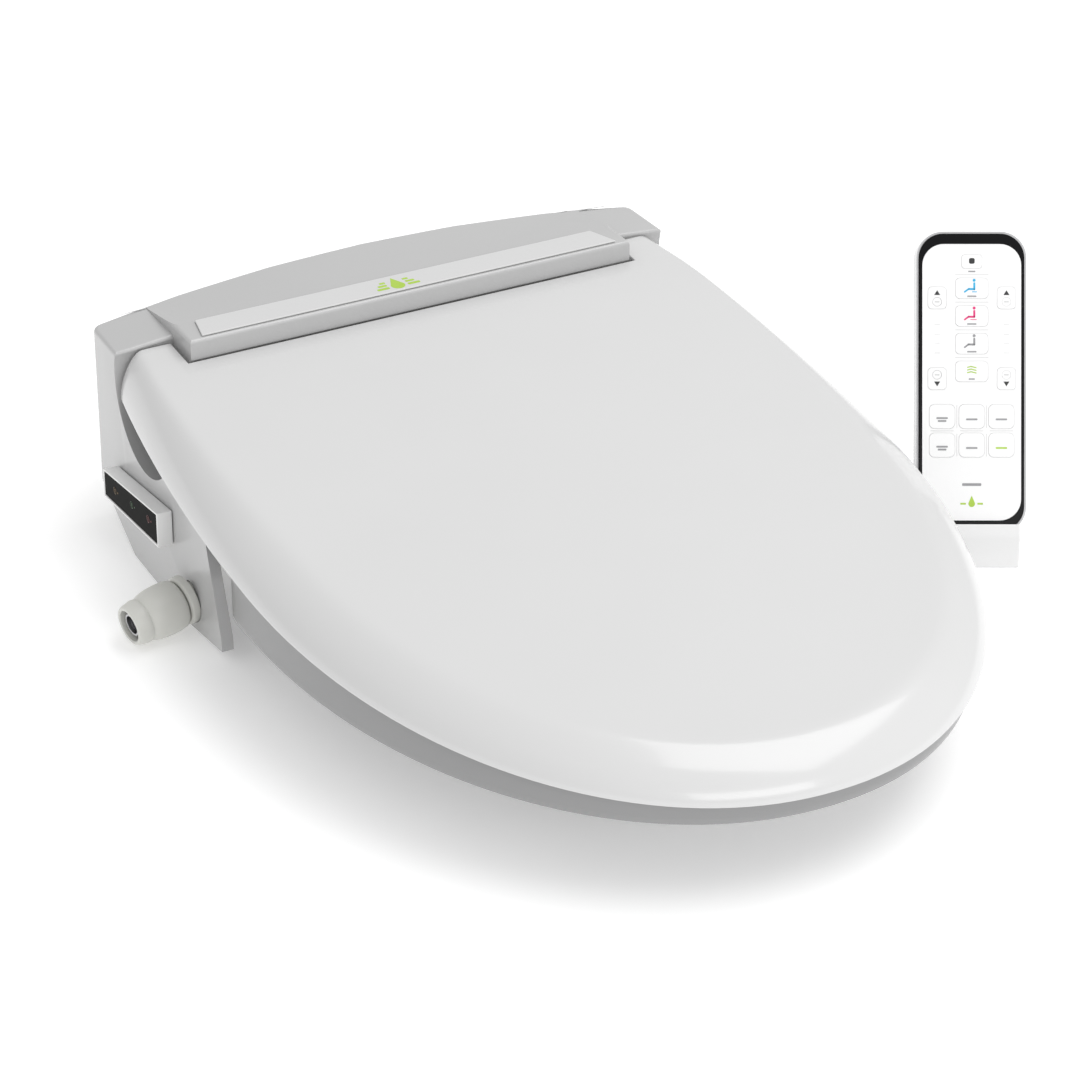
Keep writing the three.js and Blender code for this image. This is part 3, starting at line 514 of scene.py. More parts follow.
# ---------------------------------------------------------------------------------------------
# Plan curves of the lid and the seat
# ---------------------------------------------------------------------------------------------
lid_low, lid_high = box_mm("lid_shell")
LID_TIP_Y = lid_low.y
LID_REAR_Y = lid_high.y
LID_HALF = lid_high.x
LID_WIDE_Y = -200.0
LID_TAPER = 13.0                        # how much nearer the middle each side is at the hinge
LID_POWER = 2.08                        # roundness of the front: 2 is an ellipse
HINGE = Vector(joints["lid_hinge"]["pos_m"]) / MM
NOTCH_Y = -15.0
NOTCH_HALF = 141.5
RIM_FRONT_Z = lid_low.z
RIM_SLOPE = 0.073
TOP_FRONT_Z = 53.0
TOP_SLOPE = 0.0913
SEAT_INSET = 6.0
EAR_EDGE = 0.55                         # width of the rounded edge at the hinge against the front's


def lid_half_at(y, inset=0.0):
    if y < LID_WIDE_Y:
        t = min(1.0, (LID_WIDE_Y - y) / (LID_WIDE_Y - LID_TIP_Y - inset))
        return (LID_HALF - inset) * max(0.0, 1 - t ** LID_POWER) ** (1 / LID_POWER)
    t = (y - LID_WIDE_Y) / (HINGE.y - LID_WIDE_Y)
    return LID_HALF - inset - LID_TAPER * t * t


def edge_width_at(y):
    """How wide the rounded edge is at y, against its width at the front."""
    t = min(1.0, max(0.0, (y - LID_WIDE_Y) / (HINGE.y - LID_WIDE_Y)))
    return 1 - (1 - EAR_EDGE) * t


def front_arc(inset, steps):
    """Points along the lid's edge from its widest place on the right to the tip."""
    points = []
    for i in range(1, steps + 1):
        angle = math.pi / 2 * i / steps
        x = (LID_HALF - inset) * max(0.0, math.cos(angle)) ** (2 / LID_POWER)
        y = LID_WIDE_Y - (LID_WIDE_Y - LID_TIP_Y - inset) * math.sin(angle) ** (2 / LID_POWER)
        points.append((0.0 if i == steps else x, y))
    return points


def rim_at(y):
    return RIM_FRONT_Z + RIM_SLOPE * (y - LID_TIP_Y)


def lid_top_at(y):
    return TOP_FRONT_Z + TOP_SLOPE * (y - LID_TIP_Y)


# ---------------------------------------------------------------------------------------------
# Lid
# ---------------------------------------------------------------------------------------------
EAR_STEPS = 4
LEG_STEPS = 16
ARC_STEPS = 40
STEP_LINE_Y = -45.0                     # behind this the lid's top rises less steeply
STEP_FALL = 0.035
STEP_INSET = 24.0
CROWN_REAR_Y = -60.0                    # the crown rises forward of this, and inside the edge
CROWN_LENGTH = 90.0
CROWN_INSET = 20.0
CROWN_WIDTH = 60.0
LID_LIP_EDGE = 0.7
# The lid's section from its rim inwards: [distance in from the rim, rise at the tip].
LID_SECTION = [(0, 0), (0.1, 1.2), (0.4, 2.8), (1, 4.2), (1.8, 5.7), (3.2, 7.8), (5, 10), (6.6, 11.5),
               (8.8, 13.4), (11.5, 15.3), (14, 16.8), (17, 18.3), (20, 19.5), (23, 20.2), (26, 20.55),
               (30, 20.6)]
EDGE_END, FULL_RISE = LID_SECTION[-1]


def leg_x(y, inset):
    """Half width of a nested U at y: down the rounded edge, then evenly to the middle."""
    half = lid_half_at(y) - min(inset, EDGE_END) * edge_width_at(y)
    return half * min(1.0, (LID_HALF - inset) / (LID_HALF - EDGE_END))


# The nested U that passes the inner corners of the ears.
NOTCH_INSET = LID_HALF - NOTCH_HALF / leg_x(NOTCH_Y, EDGE_END) * (LID_HALF - EDGE_END)


def lid_section():
    """The rounded edge, then flat rings to the middle, one of them along the rear notch."""
    inner = [35, 42, NOTCH_INSET, 58, 68, 80, 96, 116, 138, 160, 180, LID_HALF]
    return LID_SECTION + [(inset, FULL_RISE) for inset in inner]


def front_crown(inset):
    """Share of the crown's rise on a nested U, forward of the widest place."""
    narrow = 1 - inset / LID_HALF
    return 1 - narrow * narrow


def lid_ring(inset, rise):
    """One nested U of the lid: right ear, right side, front, and back along the left."""
    right = []
    for i in range(EAR_STEPS):
        y = LID_REAR_Y + (NOTCH_Y - LID_REAR_Y) * i / EAR_STEPS
        x = leg_x(y, inset)
        if inset == NOTCH_INSET:
            x = NOTCH_HALF
        right.append(None if inset > NOTCH_INSET else (x, y))
    for i in range(LEG_STEPS + 1):
        y = NOTCH_Y + (LID_WIDE_Y - NOTCH_Y) * i / LEG_STEPS
        right.append((leg_x(y, inset), y))
    right += front_arc(inset, ARC_STEPS)
    full = right + [None if p is None else (-p[0], p[1]) for p in reversed(right[:-1])]
    ring = []
    crown = sizes().lid_crown / MM
    for point in full:
        if point is None:
            ring.append(None)
            continue
        x, y = point
        rim = rim_at(y)
        top = lid_top_at(y)
        z = rim + rise * (top - rim) / FULL_RISE
        across = 1 - (x / (lid_half_at(y) + 1e-6)) ** 2 if y > LID_WIDE_Y else front_crown(inset)
        inward = min(1.0, max(0.0, (inset - CROWN_INSET) / CROWN_WIDTH))
        forward = min(1.0, max(0.0, (CROWN_REAR_Y - y) / CROWN_LENGTH))
        z += crown * across * inward * forward
        if y > STEP_LINE_Y:
            z -= STEP_FALL * (y - STEP_LINE_Y) * min(1.0, inset / STEP_INSET)
        ring.append(Vector((x, y, z)))
    return ring


def build_lid():
    bm = bmesh.new()
    loft(bm, [lid_ring(inset, rise) for inset, rise in lid_section()], closed=False)
    bmesh.ops.remove_doubles(bm, verts=bm.verts, dist=0.02)
    bmesh.ops.dissolve_degenerate(bm, edges=bm.edges, dist=0.01)
    lid = piece_from(bm, "lid_panel", "lid", "lid_gloss", ("lid_shell",))
    modified(lid, "SOLIDIFY", thickness=sizes().lid_wall, offset=-1, use_even_offset=True)
    modified(lid, "BEVEL", width=LID_LIP_EDGE * MM, segments=2, limit_method="ANGLE",
             angle_limit=math.radians(50))
    settle(lid)


HINGE_EYE = 6.2                         # radius of the eyes round the hinge shafts
LUG_INNER_X = 166.5
LUG_THICK = 4.0
LUG_FLARE = 2.5
LUG_UNDER_TOP = 5.5
LUG_STEPS = 14
SIDES = (("left", -1), ("right", 1))


def side_plate(name, middle_x, half_thick, at, outline, edge, segments, body, material):
    """A plate across X, its outline drawn in Y and Z from the point at, with rounded edges."""
    place = Matrix(((0, 0, 1, middle_x), (1, 0, 0, at[0]), (0, 1, 0, at[1]), (0, 0, 0, 1)))
    bm = bmesh.new()
    slab(bm, outline, place, -half_thick, half_thick)
    bmesh.ops.bevel(bm, geom=sharp_edges(bm, math.radians(60)), offset=edge, segments=segments,
                    profile=0.5, affect="EDGES")
    piece_from(bm, name, body, material)


def build_lid_lugs():
    """The two lugs that hang from the lid's ears onto the hinge shafts."""
    eye = HINGE_EYE
    top = lid_top_at(HINGE.y) - HINGE.z - LUG_UNDER_TOP
    outline = [(eye, 0), (eye + LUG_FLARE, top), (-eye - LUG_FLARE, top), (-eye, 0)]
    for i in range(1, LUG_STEPS):
        angle = math.pi * i / LUG_STEPS
        outline.append((-eye * math.cos(angle), -eye * math.sin(angle)))
    for side, sign in SIDES:
        side_plate("lid_lug_" + side, sign * (LUG_INNER_X + LUG_THICK / 2), LUG_THICK / 2,
                   (HINGE.y, HINGE.z), outline, 0.5, 2, "lid", "lid_gloss")


# ---------------------------------------------------------------------------------------------
# Seat
# ---------------------------------------------------------------------------------------------
SEAT_CENTRE_Y = -245.0
SEAT_ARM_HALF = 168.0
SEAT_REAR_Y = -66.0
SEAT_STEP_Y = -142.0
SEAT_BOTTOM_Z = 20.0
SEAT_TOP_FRONT_Z = 44.0
SEAT_TOP_SLOPE = 0.085
SEAT_CORNER = 9.0
SEAT_STEP_LENGTH = 26.0                 # along which the arms widen into the ring
SEAT_STEP_STEPS = 8
SEAT_ROLL = 16.0                        # rounding of the ring's outer edge, and of its inner one
HOLE_ROLL = 10.0
ROLL_STEPS = 6
TOP_STEPS = 10
HOLE_HALF = 109.0
HOLE_HALF_LENGTH = 151.0
HOLE_SQUARENESS = 0.9                   # 1 is an ellipse, less is squarer
SEAT_SIDES = 168


def seat_top_at(y):
    return SEAT_TOP_FRONT_Z + SEAT_TOP_SLOPE * (y - LID_TIP_Y)


def seat_outline():
    """Right half of the seat's plan from the middle of its rear edge to the front tip."""
    corner = SEAT_CORNER
    points = [(0.0, SEAT_REAR_Y), (SEAT_ARM_HALF - corner, SEAT_REAR_Y)]
    for i in range(1, 6):
        angle = math.pi / 2 * (1 - i / 5)
        points.append((SEAT_ARM_HALF - corner + corner * math.cos(angle),
                       SEAT_REAR_Y - corner + corner * math.sin(angle)))
    front_y = SEAT_STEP_Y - SEAT_STEP_LENGTH
    wide = lid_half_at(front_y, SEAT_INSET)
    for i in range(SEAT_STEP_STEPS + 1):
        t = i / SEAT_STEP_STEPS
        points.append((SEAT_ARM_HALF + (wide - SEAT_ARM_HALF) * t * t * (3 - 2 * t),
                       SEAT_STEP_Y + (front_y - SEAT_STEP_Y) * t))
    points.append((LID_HALF - SEAT_INSET, LID_WIDE_Y))
    return points + front_arc(SEAT_INSET, 60)


def along_rays(half_outline, count):
    """Points where evenly spaced rays from the seat's centre meet the mirrored outline."""
    loop = half_outline + [(-x, y) for x, y in reversed(half_outline) if x > 1e-6]
    points = []
    for k in range(count):
        angle = math.pi / 2 - 2 * math.pi * k / count
        ray = Vector((math.cos(angle), math.sin(angle)))
        best = None
        for a, b in zip(loop, loop[1:] + loop[:1]):
            a = Vector((a[0], a[1] - SEAT_CENTRE_Y))
            b = Vector((b[0], b[1] - SEAT_CENTRE_Y))
            side = b - a
            bottom = ray.x * side.y - ray.y * side.x
            if abs(bottom) < 1e-9:
                continue
            far = (a.x * side.y - a.y * side.x) / bottom
            along = (a.x * ray.y - a.y * ray.x) / bottom
            if far > 0 and -1e-6 <= along <= 1 + 1e-6:
                best = far if best is None else max(best, far)
        points.append(Vector((ray.x * best, ray.y * best + SEAT_CENTRE_Y)))
    return points


def inward_normals(points):
    """The direction square to the closed outline at each point, towards the seat's centre."""
    normals = []
    for i, point in enumerate(points):
        step = points[(i + 1) % len(points)] - points[i - 1]
        normal = Vector((step.y, -step.x)).normalized()
        if normal.dot(Vector((0, SEAT_CENTRE_Y)) - point) < 0:
            normal = -normal
        normals.append(normal)
    return normals


def hole_outline(count):
    points = []
    for k in range(count):
        angle = math.pi / 2 - 2 * math.pi * k / count
        c = math.cos(angle)
        s = math.sin(angle)
        x = HOLE_HALF * math.copysign(abs(c) ** HOLE_SQUARENESS, c)
        y = HOLE_HALF_LENGTH * math.copysign(abs(s) ** HOLE_SQUARENESS, s)
        points.append(Vector((x, SEAT_CENTRE_Y + y)))
    return points


def build_seat():
    """The seat's top shell: rings from its outer foot over the dished top into the hole."""
    outer = along_rays(seat_outline(), SEAT_SIDES)
    hole = hole_outline(SEAT_SIDES)
    outer_in = inward_normals(outer)
    hole_out = [-normal for normal in inward_normals(hole)]
    dish = sizes().seat_dish / MM
    rings = []

    def level_ring(where, lift):
        rings.append([Vector((p.x, p.y, SEAT_BOTTOM_Z + lift)) for p in where])

    def top_ring(where, fall):
        rings.append([Vector((p.x, p.y, seat_top_at(p.y) - fall)) for p in where])

    def moved(points, ways, by):
        return [p + n * by for p, n in zip(points, ways)]

    for inset in (2.2, 0.5):
        level_ring(moved(outer, outer_in, inset), 0)
    for lift in (1.6, 4.0):
        level_ring(outer, lift)
    for i in range(ROLL_STEPS + 1):
        angle = math.pi / 2 * i / ROLL_STEPS
        inset = SEAT_ROLL * (1 - math.cos(angle))
        top_ring(moved(outer, outer_in, inset), SEAT_ROLL * (1 - math.sin(angle)))
    flat_outer = moved(outer, outer_in, SEAT_ROLL)
    flat_hole = moved(hole, hole_out, HOLE_ROLL)
    for i in range(1, TOP_STEPS):
        t = i / TOP_STEPS
        top_ring([a.lerp(b, t) for a, b in zip(flat_outer, flat_hole)], dish * math.sin(math.pi * t) ** 2)
    for i in range(ROLL_STEPS + 1):
        angle = math.pi / 2 * (1 - i / ROLL_STEPS)
        inset = HOLE_ROLL * (1 - math.cos(angle))
        top_ring(moved(hole, hole_out, inset), HOLE_ROLL * (1 - math.sin(angle)))
    level_ring(hole, 4.0)
    for inset in (0.4, 2.0):
        level_ring(moved(hole, hole_out, inset), 0)
    bm = bmesh.new()
    loft(bm, rings)
    seat = piece_from(bm, "seat_ring", "seat", "seat_gloss_shaded", ("seat_top",))
    modified(seat, "SOLIDIFY", thickness=sizes().seat_wall, offset=-1)
    settle(seat)


ARM_INNER_X = 143.0
ARM_OUTER_X = 165.5
ARM_LOW_Z = 62.0
ARM_EYE_STEPS = 10


def build_seat_arms():
    """Two arms that carry the seat's rear edge back to the hinge shafts."""
    eye = HINGE_EYE
    front_y = SEAT_REAR_Y - 5
    outline = [(SEAT_REAR_Y + 4, ARM_LOW_Z), (HINGE.y + eye * 0.5, HINGE.z - eye * 0.87)]
    for i in range(ARM_EYE_STEPS + 1):
        angle = math.radians(-60 + 150 * i / ARM_EYE_STEPS)
        outline.append((HINGE.y + eye * math.cos(angle), HINGE.z + eye * math.sin(angle)))
    outline += [(HINGE.y - 14, HINGE.z + 5.6), (HINGE.y - 30, HINGE.z + 2.6),
                (front_y, seat_top_at(front_y) - 1), (front_y, ARM_LOW_Z)]
    middle_x = (ARM_INNER_X + ARM_OUTER_X) / 2
    half_thick = (ARM_OUTER_X - ARM_INNER_X) / 2
    for side, sign in SIDES:
        side_plate("seat_arm_" + side, sign * middle_x, half_thick, (0, 0), outline, 1.2, 3,
                   "seat", "seat_gloss_shaded")


# ---------------------------------------------------------------------------------------------
# Pieces that keep the frame's own form, with rounded edges
# ---------------------------------------------------------------------------------------------
# Each row: node, piece, slot, material, edge rounding.
HOUSING_PARTS = [
    ("nose_trim", "nose_band", "trim_white", "trim_satin", 0.4),
    ("display_bezel", "display_surround", "trim_white", "surround_white_lit", 0.45),
    ("display_window", "display_glass", "black_gloss", "dark_window", 0.3),
    ("inlet_elbow", "inlet_stem", "fitting_white", "fitting_matt", 0.5),
    ("dryer_flap", "dryer_door", "gloss_white", "housing_gloss_shaded", 0.35),
    ("mounting_bracket", "deck_bracket", "inner_white", "inner_matt", 0.8),
    ("base_plate", "floor_plate", "inner_white", "inner_matt", 0.6),
    ("cord_gland", "cable_gland", "soft_grey", "soft_rubber", 0.4),
]
INNER_PARTS = [
    ("display_board", "display_circuit", "circuit_green", "circuit_green", 0.2),
    ("heater_tank", "water_tank", "inner_white", "inner_matt", 0.8),
    ("tank_lid", "water_tank_lid", "inner_white", "inner_matt", 0.8),
    ("heating_element", "heating_rod", "steel", "copper", 0.0),
    ("inlet_valve", "solenoid_valve", "inner_white", "inner_matt", 0.8),
    ("main_board", "main_circuit", "circuit_green", "circuit_green", 0.3),
    ("dryer_duct", "air_duct", "inner_white", "inner_matt", 0.6),
    ("dryer_fan", "fan_wheel", "dark_plastic", "dark_case", 0.2),
    ("dryer_motor", "fan_motor", "steel", "steel", 0.8),
    ("nozzle_tube", "wash_tube", "steel", "steel", 0.25),
    ("nozzle_pinion", "drive_pinion", "inner_white", "trim_satin", 0.12),
    ("nozzle_guide", "nozzle_cradle", "inner_white", "inner_matt", 0.5),
    ("nozzle_motor", "nozzle_drive_motor", "steel", "steel", 0.8),
    ("damper_left", "hinge_damper_left", "dark_plastic", "dark_case", 0.4),
    ("damper_right", "hinge_damper_right", "dark_plastic", "dark_case", 0.4),
    ("inlet_strainer", "inlet_filter", "steel", "steel", 0.15),
    ("seat_bottom", "seat_base", "seat_white", "seat_gloss_shaded", 0.5),
    ("seat_heater", "seat_heating_film", "heater_film", "heater_film", 0.1),
]


# The nose's tapering sides lie this near to its half width, behind this Y, and keep plain edges.
NOSE_HALF = 139.0
NOSE_NEAR = 2.0
NOSE_SIDE_FRONT_Y = -12.0
CROWN_LOW_Z = 94.5                      # edges above this belong to the housing's crown


def on_nose_side(vert):
    off_side = abs(abs(vert.co.x) - NOSE_HALF * MM)
    return off_side < NOSE_NEAR * MM and vert.co.y > NOSE_SIDE_FRONT_Y * MM


def off_nose_side(edge):
    return not all(on_nose_side(vert) for vert in edge.verts)


def along_crown(edge):
    return off_nose_side(edge) and all(vert.co.z > CROWN_LOW_Z * MM for vert in edge.verts)


def build_housing():
    """The upper cover: a wide rounding along the crown's edge and small ones elsewhere."""
    softened("upper_cover", "housing_shell", "housing_gloss_shaded", sizes().small_edge,
             keep=off_nose_side, wide=sizes().housing_edge, wide_where=along_crown)
    for node, name, slot, material, width in HOUSING_PARTS:
        softened(node, name, material, width * MM, segments=3)


def build_inner_parts():
    for node, name, slot, material, width in INNER_PARTS:
        softened(node, name, material, width * MM)


PAD_ROUNDING = 2.5
PAD_GROOVE = 0.6
PAD_STEPS = 4


def build_bumpers():
    """Soft pads under the seat and the lid: rounded caps with a shallow groove round them."""
    pads = [("seat_bumper_%d" % i, "seat", "seat_pad_%d" % i) for i in range(1, 5)]
    pads += [("lid_bumper_left", "lid", "lid_pad_left"), ("lid_bumper_right", "lid", "lid_pad_right")]
    for node, body, name in pads:
        low, high = box_mm(node)
        middle = (low + high) / 2
        half = (high - low) / 2
        height = high.z - low.z
        soft = min(PAD_ROUNDING, height * 0.4)
        section = []
        for i in range(PAD_STEPS + 1):
            angle = math.pi / 2 * i / PAD_STEPS
            section.append((soft * (1 - math.sin(angle)), soft * (1 - math.cos(angle))))
        section += [(0.0, height * 0.55), (PAD_GROOVE, height * 0.6), (PAD_GROOVE, height * 0.7),
                    (0.0, height * 0.75), (0.0, height)]
        bm = bmesh.new()
        rings = []
        for inset, rise in section:
            outline = round_rect(half.x - inset, half.y - inset, half.x - inset - 0.4, 8)
            rings.append([Vector((middle.x + x, middle.y + y, low.z + rise)) for x, y in outline])
        made = loft(bm, rings)
        bm.faces.new(list(reversed(made[0])))
        bm.faces.new(made[-1])
        piece_from(bm, name, body, "soft_rubber", (node,))


# ---------------------------------------------------------------------------------------------
# Water inlet
# ---------------------------------------------------------------------------------------------
def build_inlet():
    """The hose nut: a smooth swelling barrel, a groove and a narrow mouth."""
    joint = joints["hose_nut_turn"]
    place = axis_frame(Vector(joint["pos_m"]) / MM, joint["axis"])
    # Radius, and distance out from the joint: over the barrel to the mouth, then back down the bore.
    outer = [(12, 7.8), (12.7, 8.1), (13.8, 9.2), (14.3, 11), (14.6, 14), (14.7, 18), (14.5, 22),
             (14.1, 25), (13.5, 27.6), (12.8, 29.4), (12.2, 30), (12.05, 30.6), (12.3, 31.2),
             (12.6, 31.9), (12.7, 33.2), (12.4, 35), (12, 37), (11.6, 38.7), (11.1, 39.7), (10.5, 40)]
    inner = [(9.6, 40), (9.1, 39.5), (9, 38), (9, 24), (8, 22), (8, 8.2), (8.4, 7.8)]
    bm = bmesh.new()
    lathe(bm, outer + inner + outer[:1], place, sides=96)
    bmesh.ops.remove_doubles(bm, verts=bm.verts, dist=0.001)
    piece_from(bm, "hose_nut_grip", "hose_nut", "fitting_matt", ("inlet_nut",))


# ---------------------------------------------------------------------------------------------
# Wash nozzle
# ---------------------------------------------------------------------------------------------
NOZZLE_TIP_Y = -56.0
# Each spray hole: distance back from the tip, and sideways.
SPRAY_HOLES = ((5.0, 0.0), (8.2, -1.5), (8.2, 1.5), (11.2, 0.0))
SPRAY_RADIUS = 0.45


def build_nozzle_tip():
    """The nozzle's head: a rounded tip, with near-black discs on top as painted shade of its spray holes.
    """
    out_axis = Vector(joints["nozzle_slide"]["axis"])
    low, high = box_mm("nozzle_tip")
    radius = (high.x - low.x) / 2
    tip_z = low.z + radius * math.cos(math.asin(-out_axis.z))
    tip = Vector((0, NOZZLE_TIP_Y, tip_z))
    place = axis_frame(tip, -out_axis)
    profile = [(0.01, 0.05), (2.4, 0.1), (4.2, 0.7), (5.4, 2.0), (5.9, 3.8), (6, 5.5), (6, 13.5),
               (5.85, 15), (5.4, 15.8), (4.4, 16), (0.01, 16)]
    bm = bmesh.new()
    lathe(bm, profile, place, sides=56)
    bmesh.ops.remove_doubles(bm, verts=bm.verts, dist=0.03)
    piece_from(bm, "nozzle_head", "nozzle", "trim_satin", ("nozzle_tip",))
    up = Vector((0, out_axis.z, -out_axis.y)).normalized()
    # The spray holes are not cut: thin near-black discs stand slightly proud of the tip as their painted
    # shade.
    bm = bmesh.new()
    for along, across in SPRAY_HOLES:
        lift = math.sqrt(radius ** 2 - across ** 2)
        centre = tip - out_axis * along + Vector((across, 0, 0)) + up * (lift - 0.1)
        hole = axis_frame(centre, up)
        slab(bm, circle(SPRAY_RADIUS, 14), hole, 0.0, 0.16)
    piece_from(bm, "painted_hole_shade_discs", "nozzle", "painted_hole_shade")


# ---------------------------------------------------------------------------------------------
# Printed marks
# ---------------------------------------------------------------------------------------------
class Marks:
    """Thin printed marks on a plane: each shape is a slab of the print height."""

    def __init__(self, place):
        self.bm = bmesh.new()
        self.place = place
        self.height = sizes().print_height / MM

    def polygon(self, points):
        slab(self.bm, points, self.place, 0.01, 0.01 + self.height)

    def bar(self, x, y, half_w, half_h):
        corner = min(half_w, half_h) * 0.6
        self.polygon([(x + px, y + py) for px, py in round_rect(half_w, half_h, corner, 3)])

    def stroke(self, a, b, width):
        a = Vector(a)
        b = Vector(b)
        base = math.atan2(b.y - a.y, b.x - a.x)
        points = []
        for centre, start in ((b, base - math.pi / 2), (a, base + math.pi / 2)):
            for i in range(7):
                angle = start + math.pi * i / 6
                points.append((centre.x + width / 2 * math.cos(angle),
                               centre.y + width / 2 * math.sin(angle)))
        self.polygon(points)

    def disc(self, x, y, radius, sides=20):
        self.polygon([(x + px, y + py) for px, py in circle(radius, sides)])

    def ring(self, x, y, radius, width, sides=28):
        for i in range(sides):
            corners = []
            for r, k in ((radius, i), (radius, i + 1), (radius - width, i + 1), (radius - width, i)):
                angle = 2 * math.pi * k / sides
                corners.append((x + r * math.cos(angle), y + r * math.sin(angle)))
            self.polygon(corners)

    def drop(self, x, y, size):
        """A plain water drop with its point up."""
        points = [(x, y + size)]
        for i in range(17):
            angle = math.radians(35 - 250 * i / 16)
            points.append((x + size * 0.55 * math.cos(angle),
                           y - size * 0.35 + size * 0.55 * math.sin(angle)))
        self.polygon(list(reversed(points)))

    def done(self, name, body, material, slot="face_white"):
        bmesh.ops.remove_doubles(self.bm, verts=self.bm.verts, dist=1e-5)
        piece_from(self.bm, name, body, material)


def plane_frame(across, up, out, origin):
    """A matrix with X across, Y up and Z out of a plane, from its origin."""
    return Matrix(((across.x, up.x, out.x, origin.x), (across.y, up.y, out.y, origin.y),
                   (across.z, up.z, out.z, origin.z), (0, 0, 0, 1)))


def remote_frame(node, top):
    """A frame at a remote node's centre: X across, Y up its length, Z out, lifted to its top face."""
    up = Vector(joints["remote_lift"]["axis"]).normalized()
    out = -Vector(joints["key_stop_press"]["axis"]).normalized()
    return plane_frame(up.cross(out), up, out, centre_mm(node) + out * top)


KEY_HALF_DEPTH = 2.3                    # from a key's centre, and from the face's, to its top
FACE_HALF_DEPTH = 2.65


def key_marks(key):
    return Marks(remote_frame(key, KEY_HALF_DEPTH))


def seated_figure(marks, y):
    """A head, a back, a thigh and a shin, drawn in round strokes."""
    marks.disc(1.3, y + 3.9, 0.85)
    marks.stroke((1.4, y + 2.2), (1.4, y - 1.0), 1.15)
    marks.stroke((1.4, y - 1.1), (-1.8, y - 1.0), 1.1)
    marks.stroke((-1.8, y - 1.0), (-4.0, y - 2.6), 0.95)


def build_key_prints():
    """Figures, waves, arrows and bars on the keys."""
    for key, ink in (("key_wash", "ink_blue"), ("key_bidet", "ink_pink"), ("key_jet", "ink_grey")):
        marks = key_marks(key)
        seated_figure(marks, 0.6)
        if key == "key_wash":
            marks.stroke((2.6, -2.0), (0.4, -2.0), 0.5)
        if key == "key_bidet":
            marks.stroke((2.6, -2.0), (-0.6, -2.0), 0.4)
        marks.done(key + "_figure", key, ink, "key_white")
        label = key_marks(key)
        label.bar(0, -4.5, 2.6, 0.42)
        label.done(key + "_label", key, "ink_grey", "key_white")
    marks = key_marks("key_stop")
    marks.bar(0, 0.3, 1.6, 1.6)
    marks.done("key_stop_square", "key_stop", "ink_black", "key_white")
    marks = key_marks("key_dry")
    for row in (-1, 0, 1):
        marks.stroke((-2.4, row * 1.5 + 0.8), (-0.4, row * 1.5 + 1.3), 0.6)
        marks.stroke((-0.4, row * 1.5 + 1.3), (2.4, row * 1.5 + 0.6), 0.6)
    marks.done("key_dry_waves", "key_dry", "ink_green", "key_white")
    label = key_marks("key_dry")
    label.bar(0, -4.3, 1.7, 0.42)
    label.done("key_dry_label", "key_dry", "ink_grey", "key_white")
    for key in ("key_left_up", "key_right_up", "key_left_down", "key_right_down"):
        sign = 1 if key.endswith("up") else -1
        marks = key_marks(key)
        marks.polygon([(-1.7, 1.6 * sign), (1.7, 1.6 * sign), (0, 4.3 * sign)][::sign])
        marks.done(key + "_arrow", key, "ink_black", "key_white")
        ring = key_marks(key)
        ring.ring(0, -2.2 * sign, 2.6, 0.18)
        ring.bar(0, -2.2 * sign, 1.3, 0.4)
        ring.done(key + "_ring", key, "ink_pale", "key_white")
    for index in range(1, 7):
        key = "key_grid_%d" % index
        marks = key_marks(key)
        two_lines = index in (1, 4)
        ink = "ink_green" if index == 6 else "ink_grey"
        marks.bar(0, -1.6 if not two_lines else -0.9, 3.2, 0.5)
        if two_lines:
            marks.bar(0, -2.5, 2.4, 0.5)
        marks.done(key + "_label", key, ink, "key_white")


GRID_PITCH = 16.7                       # between the columns of small keys


def build_face_prints():
    """Lines and ticks between the keys, and a plain drop at the bottom."""
    place = remote_frame("remote_face", FACE_HALF_DEPTH)
    lines = Marks(place)
    for y in (60.6, 45.1, 29.5, 13.9):
        lines.bar(0, y, 9.4, 0.16)
    for side in (-1, 1):
        for y in (32.5, 27.0, 22.0, 16.5):
            lines.bar(side * 19.5, y, 1.5, 0.14)
    for x in (-GRID_PITCH, 0, GRID_PITCH):
        lines.bar(x, -27.35, 6.6, 0.16)
    for x in (-GRID_PITCH / 2, GRID_PITCH / 2):
        lines.bar(x, -19.3, 0.16, 6.4)
        lines.bar(x, -35.4, 0.16, 6.4)
    lines.done("face_lines", "remote", "ink_pale")
    labels = Marks(place)
    labels.bar(0, 62.4, 2.0, 0.4)
    labels.bar(0, -57.6, 5.4, 0.75)
    labels.done("face_labels", "remote", "ink_grey")
    mark = Marks(place)
    mark.drop(0, -67.2, 3.4)
    mark.bar(-4.8, -68.4, 1.6, 0.5)
    mark.bar(4.8, -68.4, 1.6, 0.5)
    mark.done("face_mark", "remote", "ink_green")


BAND_MARK_X = -7.0


def build_band_mark():
    """A plain drop between short bars on the nose band."""
    low, high = box_mm("nose_trim")
    place = Matrix.Translation((BAND_MARK_X, (low.y + high.y) / 2 - 0.5, high.z))
    mark = Marks(place)
    mark.drop(0, -0.6, 7.6)
    for side in (-1, 1):
        mark.bar(side * 9.6, -4.2, 3.8, 1.2)
        mark.bar(side * 8.6, -0.6, 2.8, 1.1)
        mark.bar(side * 7.2, 2.8, 1.8, 1.0)
    mark.done("band_mark", "root", "ink_green", "trim_white")


WALL_SLOPE = 7 / 186                    # how the cheek runs outwards towards the front
POD_TILT = 0.152                        # rise of the display towards the front
# Each lamp: material, and its place along the display, positive towards the front.
LAMPS = [("lamp_amber", -25.0), ("lamp_green", 2.0), ("lamp_red", 28.0)]


